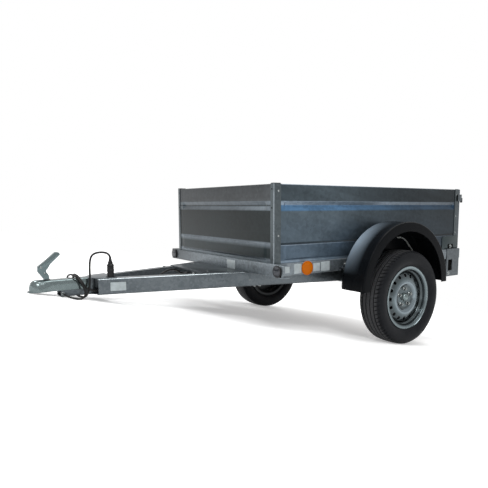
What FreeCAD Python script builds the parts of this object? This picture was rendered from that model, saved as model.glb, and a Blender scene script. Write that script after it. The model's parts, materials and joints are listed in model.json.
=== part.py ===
import FreeCAD, Part
import math
import os
import Sketcher

# Small single-axle box trailer. Millimetres, +X to the tow ball, +Y to the left, +Z up.
# Every piece is drawn on the level trailer, with the origin on the ground below the axle.
# One placement then sets the whole trailer down on its wheels and its drawbar nose.

SIZES = {
    # Box
    "box_long": 1620.0, "box_wide": 1060.0, "box_high": 405.0, "box_floor": 507.0, "box_front": 828.0,
    "floor_thick": 9.0, "sheet_thick": 2.0, "hem_wide": 18.0, "hem_drop": 12.0, "panel_gap": 0.3,
    "groove_drop": 88.0, "groove_high": 44.0, "groove_flat": 8.0, "groove_deep": 10.0,
    "groove_margin": 42.0, "groove_run_out": 16.0,
    "step_height": 96.0, "step_out": 5.0, "step_rise": 7.0, "lip_height": 23.0,
    "post_leg_front": 28.0, "post_leg_side": 46.0, "post_wall": 2.5, "post_rise": 2.0,
    "rear_post_leg": 40.0, "rear_post_return": 25.0, "post_cap_thick": 3.0,
    # Tailgate with its hinges and latches
    "gate_thick": 18.0, "gate_gap": 5.0, "hinge_back": 8.0, "hinge_rise": 2.0, "hinge_radius": 7.0,
    "hinge_pin_radius": 4.0, "hinge_ear": 4.0, "hinge_drop": 28.0, "knuckle_long": 40.0,
    "knuckle_inset": 87.0, "pin_gap": 0.1, "latch_drop": 57.0, "latch_tall": 46.0, "latch_wide": 34.0,
    "latch_thick": 10.0,
    "latch_hook": 3.0, "latch_reach": 34.0, "latch_lever": 9.0,
    # Chassis beams
    "beam_high": 66.0, "beam_wall": 3.0, "beam_deep": 45.0, "beam_overhang": 71.0, "beam_proud": 8.0,
    "rail_out": 15.0, "rail_flange": 40.0, "cross_beam_long": 60.0,
    # Drawbar
    "arm_high": 81.0, "drawbar_reach": 747.0, "arm_front_half": 80.0, "arm_tuck": 79.0,
    "arm_rear_gap": 15.0, "arm_flange": 55.0, "arm_wall": 3.0,
    "gusset_reach": 205.0, "gusset_wall": 4.0, "gusset_fold": 34.0,
    "adaptor_nose_reach": 168.0, "adaptor_neck_reach": 31.0, "adaptor_tail_reach": 90.0,
    "adaptor_half": 38.0, "adaptor_wall": 4.0, "adaptor_cheek": 30.7,
    "cord_eye_radius": 8.0, "cord_eye_long": 4.0, "cord_eye_inset": 9.0,
    "gland_radius": 9.0, "gland_long": 12.0, "gland_drop": 21.0,
    # Coupling
    "ball_reach": 93.0, "socket_radius": 25.5, "socket_deep": 20.0, "head_radius": 42.0, "head_high": 56.0,
    "head_nose": 50.0, "tongue_half": 17.0, "tongue_high": 8.0, "neck_half": 35.0, "neck_wall": 4.0,
    "neck_round": 9.0, "neck_drop": 2.0,
    "neck_gap": 6.0, "handle_wide": 26.0, "handle_wall": 3.0, "handle_sweep": 106.0, "handle_high": 132.0,
    # Axle and its swing arms
    "axle_ahead": 125.0, "axle_above": 88.5, "axle_tube_side": 60.0, "axle_tube_wall": 5.0,
    "axle_inset": 25.0, "axle_plate": 6.0, "axle_foot_long": 120.0, "axle_foot_wide": 42.0,
    "swing_boss_radius": 36.0, "swing_eye_radius": 27.0, "swing_thick": 22.0, "swing_bar_side": 32.0,
    "swing_bar_long": 60.0, "stub_radius": 14.0,
    # Wheels
    "tyre_radius": 273.5, "tyre_wide": 155.0, "tyre_wall": 91.0, "tyre_clear": 44.0,
    "rim_drop": 17.5, "rim_wide": 127.0, "rim_wall": 4.0, "well_deep": 12.0,
    "disc_wall": 4.0, "disc_offset": 30.0, "disc_bulge": 18.0, "hand_hole_radius": 7.5,
    "hand_hole_out": 2.0, "hand_hole_count": 16.0, "bore_radius": 29.0,
    "hub_radius": 64.0, "hub_flange": 10.0, "hub_barrel_radius": 32.0, "hub_barrel_long": 62.0,
    "cap_radius": 26.0, "cap_long": 24.0,
    # Mudguards
    "guard_ahead": 30.0, "guard_raise": 70.5, "guard_clear": 94.5, "guard_tuck": 12.0, "guard_over": 8.0,
    "guard_wall": 4.0, "guard_side": 36.0, "guard_shoulder": 18.0, "guard_lip": 180.0,
    "stay_wide": 34.0, "stay_thick": 4.0, "stay_reach": 30.0, "stay_tab": 34.0,
    # Lights and their carriers
    "bracket_wall": 3.0, "bracket_inset": 14.0, "bracket_long": 140.0, "bracket_top_long": 182.0,
    "bracket_top_high": 88.0, "bracket_drop": 119.0, "slot_inset": 75.0, "slot_long": 48.0,
    "slot_rise": 39.0, "slot_high": 75.0, "carrier_inset": 45.0,
    "lamp_wide": 215.0, "lamp_high": 98.0, "lamp_deep": 38.0, "lamp_rise": 14.0, "lamp_round": 12.0,
    "reflector_radius": 31.0, "reflector_thick": 10.0, "reflector_inset": 41.0,
    "side_reflector_radius": 38.0, "side_reflector_thick": 8.0, "side_reflector_back": 212.0,
    # Plug in its parking holder, and the cord radii
    "holder_back": 67.0, "holder_inset": 30.0, "holder_radius": 17.0, "holder_long": 26.0,
    "holder_foot": 3.0, "plug_radius": 18.0, "plug_neck_radius": 12.0, "plug_long": 34.0, "plug_taper": 18.0,
    "plug_tail_radius": 6.5, "plug_tail_long": 14.0, "lead_radius": 4.5, "safety_radius": 4.0,
}

# Quarter round, as shares of its radius from the end of one straight to the end of the other
QUARTER_SHARES = [(1.0, 0.0), (0.617, 0.076), (0.293, 0.293), (0.076, 0.617), (0.0, 1.0)]

# Dome of the coupling head, from its centre below out and up to its crown, as shares of radius and height
HEAD_SHARES = [(0.0, 0.0), (1.0, 0.0), (1.0, 0.47), (0.86, 0.7), (0.52, 0.89), (0.0, 1.0)]

# Side outline of the coupling lever and of the hollow in it, as shares of its sweep back and its height
HANDLE_SHARES = [(-0.48, 0.0), (-0.22, 0.0), (-0.1, 0.18), (0.02, 0.3), (0.01, 0.48), (-0.12, 0.57),
                 (-0.34, 0.7), (-0.57, 0.86), (-0.77, 1.0), (-0.92, 0.99), (-1.0, 0.9), (-0.52, 0.53),
                 (-0.45, 0.42), (-0.36, 0.32), (-0.48, 0.16)]
HANDLE_HOLLOW_SHARES = [(-0.11, 0.47), (-0.77, 0.94), (-1.08, 0.85), (-0.58, 0.47), (-0.42, 0.35)]

# Tyre above its bead: share of its half width, and share of its height above the rim's flange
TYRE_SHARES = [(1.0, 0.13), (1.0, 0.65), (0.83, 1.0)]

# Shoulder bend of the mudguard, and how much of a cord's shorter run each end of a bend takes
GUARD_BEND_SHARES = [(0.0, 1.0), (0.7, 0.72), (1.0, 0.0)]
CORD_BEND_SHARE = 0.45

# Lead from the parked plug: over its arch, down, once round the neck, and back inside the left arm.
# Both routes are measured from the foot of the adaptor's neck, in millimetres.
LEAD_ROUTE = [(-98, 68, 188), (-84, 63, 205), (-50, 58, 210), (-16, 55, 202), (-2, 55, 178), (2, 56, 130),
              (2, 58, 70), (9, 60, 24), (22, 45, -13), (34, 0, -15), (43, -45, -12), (50, -61, 22),
              (53, -60, 70), (57, -34, 103), (58, 2, 109), (54, 36, 102), (42, 60, 70), (24, 63, 34),
              (-14, 57, 17), (-62, 58, 16), (-120, 76, 17), (-180, 91, 15), (-234, 109, 18),
              (-290, 107, 36), (-344, 88, 66), (-400, 62, 88), (-455, 36, 92), (-500, 10, 76), (-528, 0, 57)]

# Breakaway cable: from one eye of the adaptor, forward, back below the neck, over it, and to the other eye
SAFETY_ROUTE = [(128, 66, 15), (112, 84, 4), (78, 87, -8), (50, 84, -12), (32, 80, 4), (34, 75, 34),
                (50, 70, 70), (68, 52, 101), (80, 16, 112), (82, -22, 112), (84, -54, 92), (87, -68, 56),
                (96, -80, 20), (116, -82, 12), (128, -66, 15)]

doc = FreeCAD.newDocument("trailer")
sheet = doc.addObject("Spreadsheet::Sheet", "Sheet")
for row, (alias, size) in enumerate(SIZES.items(), 1):
    sheet.set("A%d" % row, alias.replace("_", " "))
    sheet.set("B%d" % row, str(size))
    sheet.setAlias("B%d" % row, alias)
doc.recompute()


class Size:
    """A length with its formula, so that a sketch or a feature can be bound to the sheet."""

    def __init__(self, value, text):
        self.value = value
        self.text = text

    def joined(self, other, sign, value):
        text = other.text if isinstance(other, Size) else repr(other)
        return Size(value, "(%s %s %s)" % (self.text, sign, text))

    def __add__(self, other):
        return self.joined(other, "+", self.value + number(other))

    def __sub__(self, other):
        return self.joined(other, "-", self.value - number(other))

    def __mul__(self, other):
        return self.joined(other, "*", self.value * number(other))

    def __truediv__(self, other):
        return self.joined(other, "/", self.value / number(other))

    def __neg__(self):
        return self * -1


def number(size):
    return size.value if isinstance(size, Size) else size


class Sizes:
    """Reads each named cell of the sheet as a Size."""

    def __getattr__(self, alias):
        return Size(float(sheet.get(alias)), "Sheet." + alias)


s = Sizes()
SIDES = {"left": 1, "right": -1}
pieces = []


def vector(x, y, z):
    return FreeCAD.Vector(number(x), number(y), number(z))


def origin_part(body, role):
    return next(item for item in body.Origin.OriginFeatures if item.Role == role)


def pin_point(sketch, geometry, point, x, y):
    """Ties one point of a sketch to its two formulas."""
    for kind, axis, size in (("DistanceX", -2, x), ("DistanceY", -1, y)):
        if number(size) == 0:
            sketch.addConstraint(Sketcher.Constraint("PointOnObject", geometry, point, axis))
            continue
        index = sketch.addConstraint(Sketcher.Constraint(kind, -1, 1, geometry, point, number(size)))
        sketch.setExpression("Constraints[%d]" % index, size.text)


def new_sketch(body, role, height=0):
    """A sketch on an origin plane of the body, at a height along the plane's normal."""
    sketch = body.newObject("Sketcher::SketchObject", "Sketch")
    sketch.AttachmentSupport = [(origin_part(body, role), "")]
    sketch.MapMode = "FlatFace"
    if isinstance(height, Size):
        sketch.setExpression(".AttachmentOffset.Base.z", height.text)
    return sketch


def outline(sketch, points):
    """A closed run of straight lines through points, each tied to the sheet."""
    count = len(points)
    start = sketch.GeometryCount
    corners = [vector(x, y, 0) for x, y in points]
    lines = [Part.LineSegment(corners[i], corners[(i + 1) % count]) for i in range(count)]
    sketch.addGeometry(lines, False)
    sketch.addConstraint([Sketcher.Constraint("Coincident", start + i, 2, start + (i + 1) % count, 1)
                          for i in range(count)])
    for i, (x, y) in enumerate(points):
        pin_point(sketch, start + i, 1, x, y)


def circle(sketch, x, y, radius):
    index = sketch.addGeometry(Part.Circle(vector(x, y, 0), vector(0, 0, 1), number(radius)), False)
    pin_point(sketch, index, 3, x, y)
    bound = sketch.addConstraint(Sketcher.Constraint("Radius", index, number(radius)))
    sketch.setExpression("Constraints[%d]" % bound, radius.text)


def drawn(body, role, height, points, circles):
    sketch = new_sketch(body, role, height)
    if points:
        outline(sketch, points)
    for x, y, radius in circles:
        circle(sketch, x, y, radius)
    return sketch


def new_body(label):
    body = doc.addObject("PartDesign::Body", label)
    body.Label = label
    pieces.append(body)
    return body


def pad(body, role, start, long, points=None, circles=(), both=False):
    """A pad from a straight outline or circles: from start over its length, or half each way."""
    feature = body.newObject("PartDesign::Pad", "Pad")
    feature.Profile = drawn(body, role, start, points, circles)
    feature.setExpression("Length", long.text)
    feature.Midplane = both
    return feature


def pocket(body, role, middle, deep, points=None, circles=()):
    """A pocket that cuts half its depth each way from its sketch."""
    feature = body.newObject("PartDesign::Pocket", "Pocket")
    feature.Profile = drawn(body, role, middle, points, circles)
    feature.setExpression("Length", deep.text)
    feature.Midplane = True
    return feature


def loft(body, role, start, first, end, last):
    """Straight sides between two outlines that have as many points each."""
    feature = body.newObject("PartDesign::AdditiveLoft", "Loft")
    feature.Profile = drawn(body, role, start, first, ())
    feature.Sections = [drawn(body, role, end, last, ())]
    feature.Ruled = True
    return feature


def turned(body, points, half_turn=False):
    """A solid of revolution about the body's Y axis, from (Y, radius) points."""
    sketch = drawn(body, "YZ_Plane", 0, points, ())
    feature = body.newObject("PartDesign::Revolution", "Revolution")
    feature.Profile = sketch
    feature.ReferenceAxis = (sketch, ["H_Axis"])
    feature.Angle = 180 if half_turn else 360
    feature.Midplane = half_turn
    return feature


def turned_upright(body, ahead, points):
    """A solid of revolution about a vertical line at a distance ahead, from (X, Z) points."""
    sketch = drawn(body, "XZ_Plane", 0, points, ())
    ends = (points[0][1], points[-1][1])
    line = sketch.addGeometry(Part.LineSegment(*(vector(ahead, level, 0) for level in ends)), True)
    for point, level in enumerate(ends, 1):
        pin_point(sketch, line, point, ahead, level)
    feature = body.newObject("PartDesign::Revolution", "Revolution")
    feature.Profile = sketch
    feature.ReferenceAxis = (sketch, ["Axis0"])
    return feature


def block(body, x, y, z):
    """A box pad between three pairs of limits."""
    corners = [(x[0], y[0]), (x[1], y[0]), (x[1], y[1]), (x[0], y[1])]
    return pad(body, "XY_Plane", z[0], z[1] - z[0], corners)


def across_from(side, near, far):
    """Start of an XZ pad that reaches from near to far on one side: its normal points right."""
    return -far if side > 0 else near


def round_bar(body, x, z, radius, side, near, far):
    """A round bar along Y on one side, from near to far."""
    return pad(body, "XZ_Plane", across_from(side, near, far), far - near, circles=[(x, z, radius)])


# Levels and planes that several pieces share
box_top = s.box_floor + s.box_high
box_half = s.box_wide / 2
box_rear = s.box_front - s.box_long
gate_in = box_rear + s.gate_thick
post_rear = gate_in + s.panel_gap
panel_plane = box_half - s.post_wall - s.panel_gap
post_top = box_top + s.post_rise
step_level = s.box_floor + s.step_height
beam_low = s.box_floor - s.beam_high
rail_half = box_half + s.rail_out
beam_half = rail_half + s.beam_overhang
beam_front = s.box_front + s.beam_proud
lights_level = s.box_floor - s.beam_high / 2
wheel_place = rail_half + s.tyre_clear + s.tyre_wide / 2
axle_level = s.tyre_radius + s.axle_above
rim_radius = s.tyre_radius - s.tyre_wall
tube_end = rail_half - s.axle_inset
arm_low = beam_low - s.arm_high
arm_front = s.box_front + s.drawbar_reach
arm_rear = s.axle_ahead + s.axle_tube_side / 2 + s.arm_rear_gap
arm_rear_half = rail_half - s.arm_tuck
adaptor_low = arm_low + s.arm_wall
adaptor_nose = arm_front + s.adaptor_nose_reach
adaptor_neck = arm_front + s.adaptor_neck_reach
adaptor_tail = arm_front - s.adaptor_tail_reach
gusset_front = beam_front + s.gusset_reach
head_low = adaptor_low + s.adaptor_cheek + s.panel_gap
head_top = head_low + s.head_high
ball_ahead = adaptor_nose + s.ball_reach
ball_level = head_low + s.socket_deep
hinge_x = box_rear - s.hinge_back
hinge_z = s.box_floor + s.hinge_rise
knuckle_near = panel_plane - s.knuckle_inset
knuckle_far = knuckle_near + s.knuckle_long
bracket_rear = box_rear + s.bracket_inset
bracket_low = beam_low - s.bracket_drop
neck_tail = adaptor_neck + s.neck_gap
gland_level = beam_low - s.gland_drop
cord_eye_level = adaptor_low + s.adaptor_cheek / 2
holder_ahead = arm_front - s.holder_back


# Drawbar
def arm_edge(ahead, inward):
    """Y of the left arm's line that lies inward of its outer face, at a distance ahead of the axle."""
    share = (arm_rear_half - s.arm_front_half) / (arm_front - arm_rear)
    return s.arm_front_half + (arm_front - ahead) * share - inward


holder_place = arm_edge(holder_ahead, s.holder_inset)


def arm_strip(side, outer, inner):
    ends = ((arm_front, outer), (arm_rear, outer), (arm_rear, inner), (arm_front, inner))
    return [(ahead, arm_edge(ahead, inward) * side) for ahead, inward in ends]


def drawbar_arm(name, side):
    body = new_body("drawbar_arm_" + name)
    none = s.arm_wall * 0
    pad(body, "XY_Plane", arm_low, s.arm_high, arm_strip(side, none, s.arm_wall))
    for low in (arm_low, beam_low - s.arm_wall):
        pad(body, "XY_Plane", low, s.arm_wall, arm_strip(side, none, s.arm_flange))


def drawbar_gusset():
    """Plate on both arms ahead of the front beam, folded down at its front edge round the lead's gland."""
    body = new_body("drawbar_gusset")
    low = beam_low + s.panel_gap
    near = beam_front + s.panel_gap
    left = [(near, arm_edge(near, s.arm_wall)), (gusset_front, arm_edge(gusset_front, s.arm_wall))]
    pad(body, "XY_Plane", low, s.gusset_wall, left + [(x, -y) for x, y in reversed(left)])
    fold = arm_edge(gusset_front, s.arm_flange) - s.gusset_wall
    block(body, (gusset_front - s.gusset_wall, gusset_front), (-fold, fold),
          (beam_low - s.gusset_fold, low + s.gusset_wall))
    pad(body, "YZ_Plane", gusset_front - s.gusset_wall, s.gusset_wall + s.gland_long,
        circles=[(0, gland_level, s.gland_radius)])


def adaptor_plate(inward, nose):
    """Outline between the two arms, narrowed to the neck and carried forward to a nose."""
    shoulder = adaptor_neck - s.adaptor_half
    left = [(adaptor_tail, arm_edge(adaptor_tail, inward)), (shoulder, arm_edge(shoulder, inward)),
            (adaptor_neck, s.adaptor_half), (nose, s.adaptor_half)]
    return left + [(x, -y) for x, y in reversed(left)]


def coupling_adaptor():
    """Bottom plate between the arms, top plate on them, and two cheeks that carry the coupling head."""
    body = new_body("coupling_adaptor")
    top = beam_low + s.panel_gap
    pad(body, "XY_Plane", adaptor_low, s.adaptor_wall, adaptor_plate(s.arm_wall + s.panel_gap, adaptor_nose))
    pad(body, "XY_Plane", top, s.adaptor_wall, adaptor_plate(s.arm_wall, neck_tail - s.panel_gap))
    for side in SIDES.values():
        walls = (s.adaptor_half * side, (s.adaptor_half - s.adaptor_wall) * side)
        block(body, (adaptor_neck - s.adaptor_wall, adaptor_nose), walls,
              (adaptor_low, head_low - s.panel_gap))
        block(body, (arm_front + s.panel_gap, neck_tail - s.panel_gap), walls,
              (adaptor_low, top + s.adaptor_wall))
        round_bar(body, adaptor_nose - s.cord_eye_inset, cord_eye_level, s.cord_eye_radius, side,
                  s.adaptor_half, s.adaptor_half + s.cord_eye_long)


def coupling_head():
    """Pressed neck and dome, open below, with the ball socket and a short tongue."""
    body = new_body("coupling_head")
    half = s.neck_half
    low = head_low
    roof = head_top - s.neck_drop
    front = ball_ahead - s.socket_radius - s.neck_wall * 2
    across_round = [(half - s.neck_round * (1 - x), roof - s.neck_round * (1 - y))
                    for x, y in QUARTER_SHARES]
    section = [(-half, low), (half, low)] + across_round + [(-x, y) for x, y in reversed(across_round)]
    pad(body, "YZ_Plane", neck_tail, front + s.neck_wall - neck_tail, section)
    dome = [(ball_ahead + s.head_radius * across, low + s.head_high * up) for across, up in HEAD_SHARES]
    turned_upright(body, ball_ahead, dome)
    block(body, (ball_ahead, ball_ahead + s.head_nose), (-s.tongue_half, s.tongue_half),
          (low, low + s.tongue_high))
    pocket(body, "XY_Plane", low, s.socket_deep * 2, circles=[(ball_ahead, 0, s.socket_radius)])
    inner = half - s.neck_wall
    tail = neck_tail - s.neck_wall
    pocket(body, "XY_Plane", low, (roof - low - s.neck_wall) * 2,
           [(tail, -inner), (front, -inner), (front, inner), (tail, inner)])


def coupling_handle():
    """Lever pressed to a U that opens to the rear, with its grip at the top."""
    body = new_body("coupling_handle")
    base = head_top - s.neck_drop + s.panel_gap
    shape = [(ball_ahead + s.handle_sweep * x, base + s.handle_high * z) for x, z in HANDLE_SHARES]
    hollow = [(ball_ahead + s.handle_sweep * x, base + s.handle_high * z) for x, z in HANDLE_HOLLOW_SHARES]
    pad(body, "XZ_Plane", 0, s.handle_wide, shape, both=True)
    pocket(body, "XZ_Plane", 0, s.handle_wide - s.handle_wall * 2, hollow)


# Chassis
def channel(label, role, start, long, across, up, flange, both=False):
    """A C section: web on the across plane, two flanges towards flange."""
    body = new_body(label)
    wall = s.beam_wall * (1 if number(flange) > 0 else -1)
    low, high = up
    inner = across + flange
    points = [(across, low), (inner, low), (inner, low + s.beam_wall), (across + wall, low + s.beam_wall),
              (across + wall, high - s.beam_wall), (inner, high - s.beam_wall), (inner, high),
              (across, high)]
    pad(body, role, start, long, points, both=both)
    return body


def chassis():
    levels = (beam_low, s.box_floor)
    rear = box_rear + s.beam_wall
    rail_front = beam_front - s.beam_deep - s.panel_gap
    for name, side in SIDES.items():
        channel("side_rail_" + name, "YZ_Plane", rear, rail_front - rear, rail_half * side, levels,
                s.rail_flange * -side)
    channel("front_beam", "XZ_Plane", 0, beam_half * 2, beam_front, levels, -s.beam_deep, both=True)
    inside = rail_half - s.rail_flange - s.panel_gap
    hinge_ears(channel("rear_beam", "XZ_Plane", 0, inside * 2, rear, levels, s.beam_deep, both=True))
    channel("cross_beam", "XZ_Plane", 0, inside * 2, arm_rear + s.cross_beam_long, levels,
            -s.cross_beam_long, both=True)


# Box
def panel_points(plane, inward, pressed, bottom):
    """Section of a panel with its hem at the top, pressed with groove and step, or flat."""
    thick = s.sheet_thick * inward
    deep = s.groove_deep * (inward * pressed)
    out = s.step_out * (-inward * pressed)
    top_edge = box_top - s.groove_drop
    low_edge = top_edge - s.groove_high
    middle = (top_edge + low_edge) / 2
    flat = s.groove_flat / 2
    lip = s.box_floor + s.lip_height
    face = [(plane, top_edge), (plane + deep, middle + flat), (plane + deep, middle - flat),
            (plane, low_edge),
            (plane, step_level + s.step_rise), (plane + out, step_level), (plane + out, lip),
            (plane, lip - s.step_rise)]
    hem = plane + s.hem_wide * inward
    drop = box_top - s.hem_drop
    inner = [(plane + thick, bottom)] + [(across + thick, up) for across, up in reversed(face)]
    fold = [(plane + thick, box_top - s.sheet_thick), (hem - thick, box_top - s.sheet_thick),
            (hem - thick, drop),
            (hem, drop), (hem, box_top)]
    return [(plane, box_top)] + face + [(plane, bottom)] + inner + fold


def panel(label, role, plane, inward, ends, bottom):
    """A panel between its ends, with groove and step run out before both corners."""
    body = new_body(label)
    turn = 1 if role == "YZ_Plane" else -1
    flat = panel_points(plane, inward, 0, bottom)
    pressed = panel_points(plane, inward, 1, bottom)
    start, end = ends if turn > 0 else (-ends[1], -ends[0])
    near = start + s.groove_margin
    far = end - s.groove_margin
    pad(body, role, near + s.groove_run_out, far - near - s.groove_run_out * 2, pressed)
    loft(body, role, near, flat, near + s.groove_run_out, pressed)
    loft(body, role, far - s.groove_run_out, pressed, far, flat)
    pad(body, role, start, s.groove_margin, flat)
    pad(body, role, far, s.groove_margin, flat)
    return body


def box():
    floor = new_body("floor_panel")
    edge = panel_plane - s.sheet_thick - s.panel_gap
    front = s.box_front - s.post_wall - s.panel_gap
    behind = front - s.sheet_thick - s.panel_gap
    ahead_of_post = post_rear + s.post_wall + s.panel_gap
    block(floor, (ahead_of_post, behind), (-edge, edge), (s.box_floor, s.box_floor + s.floor_thick))
    for name, side in SIDES.items():
        panel("side_panel_" + name, "YZ_Plane", panel_plane * side, -side,
              (ahead_of_post, behind - s.hem_wide), s.box_floor)
    cross = panel_plane - s.hem_wide - s.panel_gap
    panel("front_panel", "XZ_Plane", front, -1, (-cross, cross), s.box_floor)


def corner_posts():
    rise = post_top - s.box_floor
    wall = s.post_wall
    for name, side in SIDES.items():
        body = new_body("front_post_" + name)
        outer = box_half * side
        inner = (box_half - wall) * side
        pad(body, "XY_Plane", s.box_floor, rise,
            [(s.box_front, outer), (s.box_front - s.post_leg_side, outer),
             (s.box_front - s.post_leg_side, inner),
             (s.box_front - wall, inner), (s.box_front - wall, (box_half - s.post_leg_front) * side),
             (s.box_front, (box_half - s.post_leg_front) * side)])
        body = new_body("rear_post_" + name)
        leg = post_rear + s.rear_post_leg
        back = (box_half - s.rear_post_return) * side
        pad(body, "XY_Plane", s.box_floor, rise,
            [(post_rear, outer), (leg, outer), (leg, inner), (post_rear + wall, inner),
             (post_rear + wall, back), (post_rear, back)])
    caps = new_body("post_caps")
    for side in SIDES.values():
        block(caps, (s.box_front - s.post_leg_side, s.box_front),
              ((box_half - s.post_leg_front) * side, box_half * side),
              (post_top, post_top + s.post_cap_thick))


def tailgate():
    """A pressed pan with side and bottom returns, and two knuckles at its lower edge."""
    low = s.box_floor + s.gate_gap
    body = panel("tailgate", "XZ_Plane", box_rear, 1, (-panel_plane, panel_plane), low)
    deep = (box_rear, gate_in)
    for side in SIDES.values():
        block(body, deep, ((panel_plane - s.sheet_thick) * side, panel_plane * side), (low, box_top))
        round_bar(body, hinge_x, hinge_z, s.hinge_radius, side, knuckle_near, knuckle_far)
        block(body, (hinge_x, box_rear + s.sheet_thick), (knuckle_near * side, knuckle_far * side),
              (hinge_z + s.hinge_pin_radius, hinge_z + s.hinge_radius * 2))
    block(body, deep, (-panel_plane, panel_plane), (low, low + s.sheet_thick))
    pocket(body, "XZ_Plane", 0, s.box_wide * 2, circles=[(hinge_x, hinge_z, s.hinge_pin_radius + s.pin_gap)])


def hinge_ears(body):
    """Two pairs of ears on the rear beam, each pair with its pin."""
    behind = box_rear + s.beam_wall * 2
    foot = hinge_z - s.hinge_drop
    for side in SIDES.values():
        for place in (knuckle_near - s.hinge_ear - s.panel_gap, knuckle_far + s.panel_gap):
            start = across_from(side, place, place + s.hinge_ear)
            pad(body, "XZ_Plane", start, s.hinge_ear, circles=[(hinge_x, hinge_z, s.hinge_radius)])
            pad(body, "XZ_Plane", start, s.hinge_ear,
                [(hinge_x - s.hinge_radius, hinge_z), (hinge_x, foot), (behind, foot),
                 (behind, hinge_z - s.hinge_radius), (hinge_x + s.hinge_radius, hinge_z)])
        round_bar(body, hinge_x, hinge_z, s.hinge_pin_radius, side, knuckle_near - s.hinge_ear,
                  knuckle_far + s.hinge_ear)


def latches():
    """A strap round each rear corner of the gate, with a short lever on its outer face."""
    for name, side in SIDES.items():
        body = new_body("latch_" + name)
        low = box_top - s.latch_drop - s.latch_tall / 2
        reach = box_half + s.gate_gap
        outer = reach + s.latch_hook
        levels = (low, low + s.latch_tall)
        block(body, (box_rear - s.latch_thick, box_rear - s.panel_gap),
              ((outer - s.latch_wide) * side, outer * side), levels)
        block(body, (box_rear - s.latch_thick, box_rear + s.latch_reach),
              (reach * side, outer * side), levels)
        block(body, (box_rear - s.latch_thick - s.latch_lever, box_rear - s.latch_thick),
              ((outer - s.latch_wide / 2) * side, outer * side),
              (low - s.latch_lever, low + s.latch_tall / 2))


# Axle
def square(x, z, half):
    return [(x - half, z - half), (x + half, z - half), (x + half, z + half), (x - half, z + half)]


def axle():
    """A square tube hung under both rails, each end on a web and a foot plate."""
    body = new_body("axle_tube")
    half = s.axle_tube_side / 2
    ahead = s.axle_ahead
    pad(body, "XZ_Plane", 0, tube_end * 2, square(ahead, axle_level, half), both=True)
    pocket(body, "XZ_Plane", 0, (tube_end + s.axle_plate) * 2,
           square(ahead, axle_level, half - s.axle_tube_wall))
    foot = s.axle_foot_long / 2
    for side in SIDES.values():
        block(body, (ahead - foot, ahead + foot), ((rail_half - s.axle_foot_wide) * side, rail_half * side),
              (beam_low - s.axle_plate, beam_low))
        block(body, (ahead - half, ahead + half), ((tube_end - s.axle_plate) * side, tube_end * side),
              (axle_level + half - s.axle_tube_wall, beam_low - s.axle_plate / 2))


def swing_arm(name, side):
    """A trailing arm with its square bar in the tube and the wheel's stub at its rear end."""
    body = new_body("swing_arm_" + name)
    near = tube_end + s.panel_gap
    far = near + s.swing_thick
    round_bar(body, s.axle_ahead, axle_level, s.swing_boss_radius, side, near, far)
    round_bar(body, 0, s.tyre_radius, s.swing_eye_radius, side, near, far)
    reach = math.hypot(number(s.axle_ahead), number(s.axle_above))
    boss_x = s.swing_boss_radius * (number(s.axle_above) / reach)
    boss_z = s.swing_boss_radius * (number(s.axle_ahead) / reach)
    eye_x = s.swing_eye_radius * (number(s.axle_above) / reach)
    eye_z = s.swing_eye_radius * (number(s.axle_ahead) / reach)
    pad(body, "XZ_Plane", across_from(side, near, far), s.swing_thick,
        [(s.axle_ahead - boss_x, axle_level + boss_z), (-eye_x, s.tyre_radius + eye_z),
         (eye_x, s.tyre_radius - eye_z), (s.axle_ahead + boss_x, axle_level - boss_z)])
    inside = tube_end - s.swing_bar_long
    pad(body, "XZ_Plane", across_from(side, inside, far), s.swing_bar_long + s.panel_gap + s.swing_thick,
        square(s.axle_ahead, axle_level, s.swing_bar_side / 2))
    round_bar(body, 0, s.tyre_radius, s.stub_radius, side, near,
              wheel_place + s.disc_offset - s.hub_flange)


# Wheels, each drawn about its own axle line and then set in its place
def at_wheel(body, side):
    body.Placement = FreeCAD.Placement(vector(0, wheel_place * side, s.tyre_radius), FreeCAD.Rotation())


def mirrored(points, side):
    return [(across * side, radius) for across, radius in points]


def hub(name, side):
    body = new_body("hub_" + name)
    face = s.disc_offset
    back = face - s.hub_flange
    end = back - s.hub_barrel_long
    bore = s.stub_radius + s.panel_gap
    points = [(end, bore), (end, s.hub_barrel_radius), (back, s.hub_barrel_radius), (back, s.hub_radius),
              (face, s.hub_radius), (face, s.cap_radius), (face + s.cap_long, s.cap_radius),
              (face + s.cap_long, 0), (face - s.hub_flange / 2, 0), (face - s.hub_flange / 2, bore)]
    turned(body, mirrored(points, side))
    at_wheel(body, side)


def rim(name, side):
    """Barrel with two flanges round a dished disc with a ring of hand holes."""
    body = new_body("rim_" + name)
    half = s.rim_wide / 2
    wall = s.rim_wall
    seat = rim_radius - s.rim_drop
    inner = seat - wall
    face = s.disc_offset + s.panel_gap
    crown = face + s.disc_bulge
    flat = s.hub_radius + s.disc_wall
    hole_ring = (seat + flat + s.disc_bulge) / 2 + s.hand_hole_out
    points = [(-half, rim_radius), (-half + wall, rim_radius), (-half + wall, seat), (half - wall, seat),
              (half - wall, rim_radius), (half, rim_radius), (half, inner), (s.disc_wall, inner),
              (crown - s.disc_bulge / 2, hole_ring), (crown, flat + s.disc_bulge),
              (face + s.disc_wall, flat),
              (face + s.disc_wall, s.bore_radius), (face, s.bore_radius), (face, flat),
              (crown - s.disc_wall, flat + s.disc_bulge),
              (crown - s.disc_bulge / 2 - s.disc_wall, hole_ring),
              (-s.disc_wall, inner), (-half, inner)]
    turned(body, mirrored(points, side))
    hole = pocket(body, "XZ_Plane", across_from(side, crown, crown), s.rim_wide,
                  circles=[(hole_ring, 0, s.hand_hole_radius)])
    ring = body.newObject("PartDesign::PolarPattern", "HandHoles")
    ring.Originals = [hole]
    ring.Axis = (origin_part(body, "Y_Axis"), [""])
    ring.setExpression("Occurrences", s.hand_hole_count.text)
    body.Tip = ring
    at_wheel(body, side)


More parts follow.
